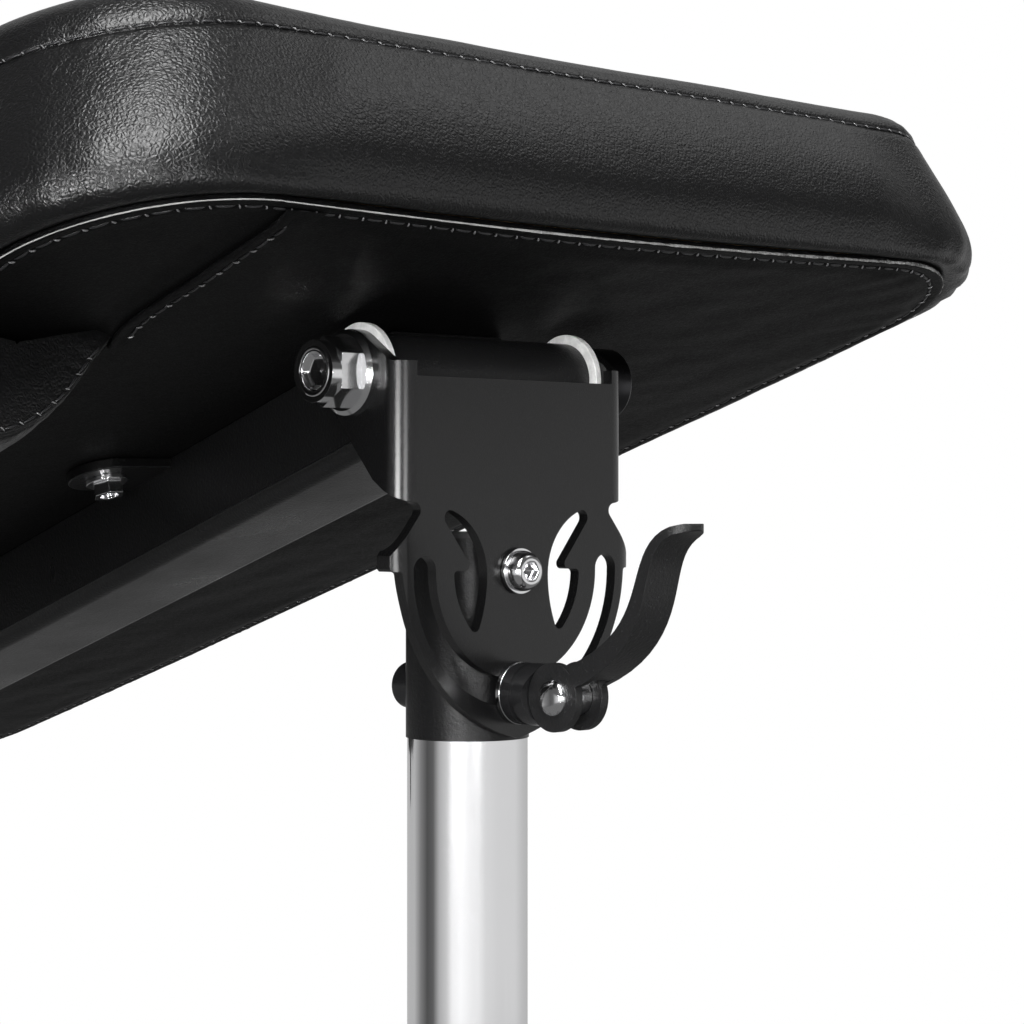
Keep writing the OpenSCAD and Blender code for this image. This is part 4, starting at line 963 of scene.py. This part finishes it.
class ARMREST_OT_bolster(Operator):
    """The bolster under the left of the pad: a soft roll with a sewn flat end"""
    bl_idname = "armrest.bolster"
    bl_label = "Bolster"

    def execute(self, context):
        roll = context.scene.arm_bolster_sizes
        stitch = context.scene.arm_stitch_sizes
        outline = smooth_path(BOLSTER_SECTION * MM, 90)
        centre = np.array([BOLSTER_MIDDLE[0], context.scene.arm_pad_sizes.under - BOLSTER_MIDDLE[1]])
        rings = self.surface(roll, outline, centre)
        piece = make_piece("bolster_cover", from_pad(rings), grid_faces(*rings.shape[:2], closed=False),
                           "leather")
        merge_close(piece.data, MERGE)
        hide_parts("bolster")
        # Stitches just inside the seam of the near end
        row = centre + (outline[6:80] - centre) * 0.955
        path = np.stack([row[:, 0], np.full(len(row), roll.near - 0.0002), row[:, 1]], 1)
        sewn_row("bolster_stitches", path, [0, -1, 0], stitch.lower_pitch * 0.8, stitch.upper_thread,
                 (0.6, 0.8), 59, closed=False)
        return {"FINISHED"}

    def surface(self, roll, outline, centre):
        """The roll's rings in the pad's frame: its outline, drawn to its centre by a share and moved out
        along its normals, at each place along the pad. The near end is a shallow cap, the roll swells
        behind the seam, and the far end closes by a quarter wave. Soft waves and the puckers of the seam
        stand along the surface's normals."""
        way = unit(np.gradient(outline, axis=0))
        out = np.stack([-way[:, 1], way[:, 0]], 1)
        swell = roll.swell / MM
        # Share of the outline, outset in millimetres and place along the pad, row by row
        end = [(share, 0.0, roll.near - BOLSTER_DOME * (1 - share**2))
               for share in np.linspace(0.02, 0.985, 26)]
        start = [(1.0, outset, roll.near + back * MM)
                 for outset, back in smooth_path(BOLSTER_START * [swell, 1], 70)]
        run = [(1.0, swell, y) for y in np.linspace(roll.near + 0.036, roll.far - BOLSTER_ROUND, 110)]
        close = [(max(math.cos(a), 0.02)**0.62, swell * math.cos(a),
                  roll.far - BOLSTER_ROUND + BOLSTER_ROUND * math.sin(a))
                 for a in np.linspace(0, math.pi / 2, 26)[1:]]
        rings = []
        for share, outset, y in (*end, *start, *run, *close):
            ring = centre + (outline - centre) * share + out * outset * MM
            rings.append(np.stack([ring[:, 0], np.full(len(ring), y), ring[:, 1]], 1))
        rings = np.array(rings)
        normal = unit(np.cross(np.gradient(rings, axis=1), np.gradient(rings, axis=0)))
        from_seam = np.abs(rings[..., 1] - roll.near - BOLSTER_SEAM)
        edge = ramp(from_seam, 0, 0.004)
        whole = np.linalg.norm(outline - centre, axis=-1)
        spread = np.linalg.norm(rings[..., ::2] - centre, axis=-1) / whole
        soft = waves(rings, 0.055, seed=53) * 0.0006 * edge * ramp(spread, 0, 0.5)
        turns = np.linspace(0, 2 * math.pi * BOLSTER_PUCKERS, len(outline))
        pucker = np.sin(turns + 2 * waves(outline, 0.05, seed=55)) * BOLSTER_PUCKER
        pucker = pucker * np.exp(-from_seam / 0.006) * edge * ramp(spread, 0.62, 0.3)**2
        return rings + normal * (soft + pucker)[..., None]


# The hard parts


def turned(name, profile, centre, axis, body):
    """A chrome body of revolution: rows of radius, distance along the axis and how far the ring is a
    hexagon (0 round, 1 six-sided), about the axis through centre."""
    axis = np.array(axis, float)
    side = unit(np.cross(axis, UP))
    up = np.cross(side, axis)
    angle = np.arange(TURNED_SIDES) * 2 * math.pi / TURNED_SIDES
    hexagon = math.cos(math.pi / 6) / np.cos(np.mod(angle, math.pi / 3) - math.pi / 6)
    spoke = np.cos(angle)[:, None] * side + np.sin(angle)[:, None] * up
    rings = np.array([
        np.array(centre) + axis * distance + (radius * (1 - six + six * hexagon))[:, None] * spoke
        for radius, distance, six in profile])
    piece = make_piece(name, rings, grid_faces(*rings.shape[:2]), "small_chrome", body)
    merge_close(piece.data)
    return piece


def bevelled(node, finish_name, width):
    """A copy of a CAD node with its loose triangles joined and its edges rounded by width."""
    source = frame["nodes"][node]
    name = node + "_finished"
    mesh = source.data.copy()
    mesh.name = name
    piece = linked(name, mesh)
    merge_close(mesh, MERGE, slivers=1e-6, flat=FLAT_ANGLE)
    if "custom_normal" in mesh.attributes:
        mesh.attributes.remove(mesh.attributes["custom_normal"])
    mesh.shade_smooth()
    mesh.materials.clear()
    mesh.materials.append(finish(finish_name))
    bevel = piece.modifiers.new("edges", "BEVEL")
    bevel.width = width
    bevel.segments = EDGE_STEPS
    bevel.limit_method = "ANGLE"
    bevel.angle_limit = EDGE_ANGLE
    bevel.use_clamp_overlap = True
    bevel.harden_normals = True
    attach(piece, source["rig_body"])
    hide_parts(node)


def bevel_all(table):
    """Rounds the edges of each node by its width in millimetres."""
    for node, finish_name, width in table:
        bevelled(node, finish_name, width * MM)


class ARMREST_OT_pressed_parts(Operator):
    """Folded, cut and moulded parts, with the small radius that their edges have"""
    bl_idname = "armrest.pressed_parts"
    bl_label = "Pressed and moulded parts"

    def execute(self, context):
        bevel_all((
            ("bracket", "plate_coat", 0.4), ("cam_lever", "coat", 0.7), ("beam", "dark_coat", 0.6),
            ("beam_tabs", "dark_coat", 0.5), ("column_flange", "coat", 0.8),
            ("front_crossbar", "coat", 2.2), ("rear_crossbar", "coat", 2.2), ("spine", "coat", 2.2),
            ("crossbar_caps", "plastic", 1.5), ("clamp_knob", "plastic", 1.6),
            ("clamp_collar", "cast", 0.6), ("beam_cap", "plastic", 1.0),
            ("cam_saddle", "gloss_plastic", 0.3), ("rubber_feet", "rubber", 1.0)))
        return {"FINISHED"}


class ARMREST_OT_fastenings(Operator):
    """Screws, nuts and washers, with broken edges"""
    bl_idname = "armrest.fastenings"
    bl_label = "Fastenings"

    def execute(self, context):
        bevel_all((
            ("hinge_nut", "small_chrome", 0.3), ("hinge_bolt", "oxide", 0.3),
            ("hinge_washers", "nylon", 0.3), ("cam_washer", "small_chrome", 0.2),
            ("cam_pin", "small_chrome", 0.4), ("rear_nut", "gloss_plastic", 0.3),
            ("tab_screws", "small_chrome", 0.3), ("tab_washers", "small_chrome", 0.2),
            ("flange_bolts", "zinc", 0.3), ("flange_nuts", "zinc", 0.3),
            ("pivot_washer", "small_chrome", 0.2)))
        self.pivot_head()
        self.pin_domes()
        self.nut_hollow()
        return {"FINISHED"}

    def pivot_head(self):
        """The pivot's screw: its shank, a head that rises by a quarter wave, and a six-sided socket."""
        low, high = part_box("pivot_screw")
        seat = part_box("pivot_washer")[0][1]
        rise, tail = seat - low[1], seat - high[1]
        shank, head, under = 0.003, 0.0053, -0.0001
        profile = [(POINT, tail, 0.0), (shank, tail, 0.0), (shank, under, 0.0), (head, under, 0.0)]
        profile += [(head * (0.60 + 0.40 * math.cos(a)), rise * math.sin(a), 0.0)
                    for a in np.linspace(0, math.pi / 2, 16)]
        profile += [(radius, rise - depth, six) for radius, depth, six in (
            (0.0029, 0.0, 0.15), (0.00262, 0.00005, 0.7), (0.0025, 0.0003, 1.0), (0.0024, 0.0019, 1.0),
            (0.0018, 0.0021, 0.6), (POINT, 0.0027, 0.0))]
        piece = turned("pivot_head", profile, (PIVOT[0], seat, PIVOT[2]), (0, -1, 0), "post")
        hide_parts("pivot_screw")

    def pin_domes(self):
        """Round ends over the cam pin's cones."""
        low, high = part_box("cam_pin")
        radius, back, rise = 0.0047, 0.0019, 0.0023
        profile = [(radius, -0.0022, 0.0)]
        profile += [(radius * math.cos(a)**0.8 + POINT, rise * math.sin(a) - back, 0.0)
                    for a in np.linspace(0.0, math.pi / 2, 14)]
        for name, x, way in (("pin_dome_left", low[0], -1), ("pin_dome_right", high[0], 1)):
            turned(name, profile, (x, CAM_PIN[1], CAM_PIN[2]), (way, 0, 0), "post")

    def nut_hollow(self):
        """The bright hollow in the collar of the hinge nut: a cone that turns six-sided further in."""
        low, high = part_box("hinge_nut")
        centre = (low[0], (low[1] + high[1]) / 2, (low[2] + high[2]) / 2)
        profile = [(0.0064, 0.0, 0.0), (0.0061, 0.00022, 0.0), (0.0056, 0.00012, 0.0),
                   (0.0050, -0.0006, 0.6), (0.0047, -0.0011, 1.0), (0.0044, -0.0017, 1.0),
                   (0.0030, -0.0019, 0.6), (POINT, -0.0022, 0.0)]
        turned("nut_hollow", profile, centre, (-1, 0, 0), "bracket")


class ARMREST_OT_other_finishes(Operator):
    """Finishes of the nodes that keep their own mesh"""
    bl_idname = "armrest.other_finishes"
    bl_label = "Other finishes"

    def execute(self, context):
        for name, nodes in {
                "chrome": ["post_tube"], "dark_coat": ["head_tube"],
                "coat": ["column_tube", "hinge_barrel"],
                "plastic": ["post_plug", "head_cap"], "wood": ["pad_board"],
                "nylon": ["column_bush", "post_glide", "barrel_bushes"],
                "zinc": ["foot_screws", "clamp_screw", "clamp_stud", "blind_nuts"],
                "alloy": ["head_spigot"], "brass": ["clamp_pad"]}.items():
            for node in nodes:
                mesh = frame["nodes"][node].data
                mesh.materials.clear()
                mesh.materials.append(finish(name))
        return {"FINISHED"}


# Studio


def circle(count):
    """Points of a unit circle, level."""
    angle = np.arange(count) * 2 * math.pi / count
    return np.stack([np.cos(angle), np.sin(angle), np.zeros(count)], -1)


def ray_share(tree, *kinds):
    """1 where a ray is of one of these kinds, else 0."""
    path = add_node(tree, "ShaderNodeLightPath")
    total = path.outputs[kinds[0]]
    for kind in kinds[1:]:
        total = add_node(tree, "ShaderNodeMath", {0: total, 1: path.outputs[kind]},
                         operation="MAXIMUM").outputs[0]
    return total


def aim(thing, place, target):
    thing.location = place
    thing.rotation_euler = (Vector(target) - Vector(place)).to_track_quat("-Z", "Y").to_euler()


def soft_light(name, place, size, power):
    """A soft lamp that lights the head and isn't seen itself."""
    light = bpy.data.lights.new(name, "AREA")
    light.shape = "RECTANGLE"
    light.size, light.size_y = size
    light.energy = power
    lamp = linked(name, light)
    aim(lamp, place, HEAD_MIDDLE)
    lamp.visible_camera = False
    return lamp


def reflected_only(name, points, faces, glow):
    """A glowing or dark stage sheet that only glossy rays meet; glow is its brightness at each point."""
    mesh = new_mesh(name, points, faces)
    mesh.attributes.new("glow", "FLOAT", "POINT").data.foreach_set("value", np.asarray(glow, np.float32))
    material = bpy.data.materials.new(name)
    material.use_nodes = True
    tree = material.node_tree
    tree.nodes.clear()
    level = add_node(tree, "ShaderNodeAttribute", attribute_name="glow").outputs["Fac"]
    light = add_node(tree, "ShaderNodeEmission", {"Strength": level}).outputs[0]
    add_node(tree, "ShaderNodeOutputMaterial", {"Surface": light})
    mesh.materials.append(material)
    sheet = linked(name, mesh)
    for kind in ("camera", "diffuse", "shadow", "transmission"):
        setattr(sheet, "visible_" + kind, False)


def surround(name, rings, radius):
    """Part of a sphere round the head: its brightness runs over the angle from the camera's side, positive
    to the right, by each ring's table, and over the elevation between the rings."""
    angle = np.arange(rings[0][1][0][0], rings[0][1][-1][0] + 0.5, 2.0)
    height = np.arange(rings[0][0], rings[-1][0] + 0.5, 2.0)
    glow = np.array([np.interp(angle, *np.array(table, float).T) for _, table in rings])
    glow = np.stack([np.interp(height, [level for level, _ in rings], column) for column in glow.T], axis=1)
    a, e = np.radians(angle)[None, :, None], np.radians(height)[:, None, None]
    flat = np.cos(a) * -CAMERA_WAY + np.sin(a) * [CAMERA_WAY[1], -CAMERA_WAY[0], 0]
    points = PIVOT + radius * (np.cos(e) * flat + np.sin(e) * UP)
    reflected_only(name, points, grid_faces(len(height), len(angle), closed=False), glow.ravel())


class ARMREST_OT_stage(Operator):
    """Pale floor, white room, soft lamps and the camera"""
    bl_idname = "armrest.stage"
    bl_label = "Stage"

    def execute(self, context):
        scene = context.scene
        studio = scene.arm_studio
        self.room(scene, studio)
        self.floor(studio)
        soft_light("key", KEY_PLACE, KEY_SIZE, studio.key)
        front = soft_light("front", FRONT_PLACE, FRONT_SIZE, studio.front)
        front.visible_glossy = False
        surround("walls", RINGS, WALL_RADIUS)
        for name, (start, stop, share) in STRIPS.items():
            ends = [(angle, studio.strip * share) for angle in (start, stop)]
            surround(name, [(level, ends) for level in STRIP_HEIGHTS], STRIP_RADIUS)
        card = circle(48) * CARD_RADIUS + [0, 0, CARD_HEIGHT]
        reflected_only("floor_card", card, [range(48)], np.full(48, studio.under))
        camera = bpy.data.cameras.new("camera")
        camera.lens = studio.lens
        camera.sensor_width = 36.0
        camera.clip_start = 0.02
        seat = linked("camera", camera)
        aim(seat, CAMERA_PLACE, np.array(CAMERA_PLACE) + CAMERA_WAY)
        scene.camera = seat
        scene.view_settings.view_transform = "Standard"
        return {"FINISHED"}

    def room(self, scene, studio):
        """A white room where it is seen or reflected, dimmer as a light."""
        world = bpy.data.worlds.new("white room")
        scene.world = world
        world.use_nodes = True
        tree = world.node_tree
        seen = ray_share(tree, "Is Camera Ray", "Is Glossy Ray", "Is Transmission Ray")
        level = add_node(tree, "ShaderNodeMapRange", {"Value": seen, "To Min": studio.fill, "To Max": 1.0})
        back = tree.nodes["Background"]
        back.inputs["Color"].default_value = (1, 1, 1, 1)
        tree.links.new(level.outputs["Result"], back.inputs["Strength"])

    def floor(self, studio):
        """A flat disc of rings that turns into the white room towards its rim."""
        rings = np.linspace(0, 1, 7)[1:] * studio.floor
        faces = [*grid_faces(len(rings), 96), range(96)]
        mesh = new_mesh("floor", rings[:, None, None] * circle(96), faces)
        material = bpy.data.materials.new("pale floor")
        material.use_nodes = True
        tree = material.node_tree
        shader = tree.nodes["Principled BSDF"]
        shader.inputs["Base Color"].default_value = (0.86, 0.86, 0.86, 1)
        shader.inputs["Roughness"].default_value = 0.9
        shader.inputs["Specular IOR Level"].default_value = 0.1
        place = add_node(tree, "ShaderNodeTexCoord").outputs["Object"]
        out = add_node(tree, "ShaderNodeVectorMath", {0: place}, operation="LENGTH").outputs["Value"]
        fade = add_node(tree, "ShaderNodeMapRange",
                        {"Value": out, "From Min": studio.floor * 0.35, "From Max": studio.floor * 0.98},
                        interpolation_type="SMOOTHSTEP").outputs["Result"]
        clear = add_node(tree, "ShaderNodeBsdfTransparent").outputs[0]
        mix = add_node(tree, "ShaderNodeMixShader", {0: fade, 1: shader.outputs[0], 2: clear})
        tree.links.new(mix.outputs[0], tree.nodes["Material Output"].inputs["Surface"])
        mesh.materials.append(material)
        linked("floor", mesh)


# Panel and registration

STEPS = (
    ARMREST_OT_stage, ARMREST_OT_pad_cover, ARMREST_OT_pad_underside, ARMREST_OT_pad_seams,
    ARMREST_OT_bolster, ARMREST_OT_pressed_parts, ARMREST_OT_fastenings, ARMREST_OT_other_finishes)
GROUPS = {"arm_pad_sizes": PadSizes, "arm_stitch_sizes": StitchSizes, "arm_bolster_sizes": BolsterSizes,
          "arm_finishes": Finishes, "arm_studio": Studio}


class ARMREST_PT_panel(Panel):
    """Lists the steps and their sizes"""
    bl_idname = "ARMREST_PT_panel"
    bl_label = "Padded arm rest"
    bl_space_type = "VIEW_3D"
    bl_region_type = "UI"
    bl_category = "Arm rest"

    def draw(self, context):
        for step in STEPS:
            self.layout.operator(step.bl_idname)
        for name in GROUPS:
            box = self.layout.box()
            group = getattr(context.scene, name)
            for key in group.bl_rna.properties.keys():
                if key not in ("rna_type", "name"):
                    box.prop(group, key)


def register():
    for group in (*GROUPS.values(), *STEPS, ARMREST_PT_panel):
        bpy.utils.register_class(group)
    for name, group in GROUPS.items():
        setattr(bpy.types.Scene, name, PointerProperty(type=group))


def unregister():
    for name in GROUPS:
        delattr(bpy.types.Scene, name)
    for group in (ARMREST_PT_panel, *reversed(STEPS), *reversed(GROUPS.values())):
        bpy.utils.unregister_class(group)


def main():
    """Registers the classes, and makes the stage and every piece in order."""
    register()
    for step in STEPS:
        group, name = step.bl_idname.split(".")
        getattr(getattr(bpy.ops, group), name)()


if __name__ == "__main__":
    main()
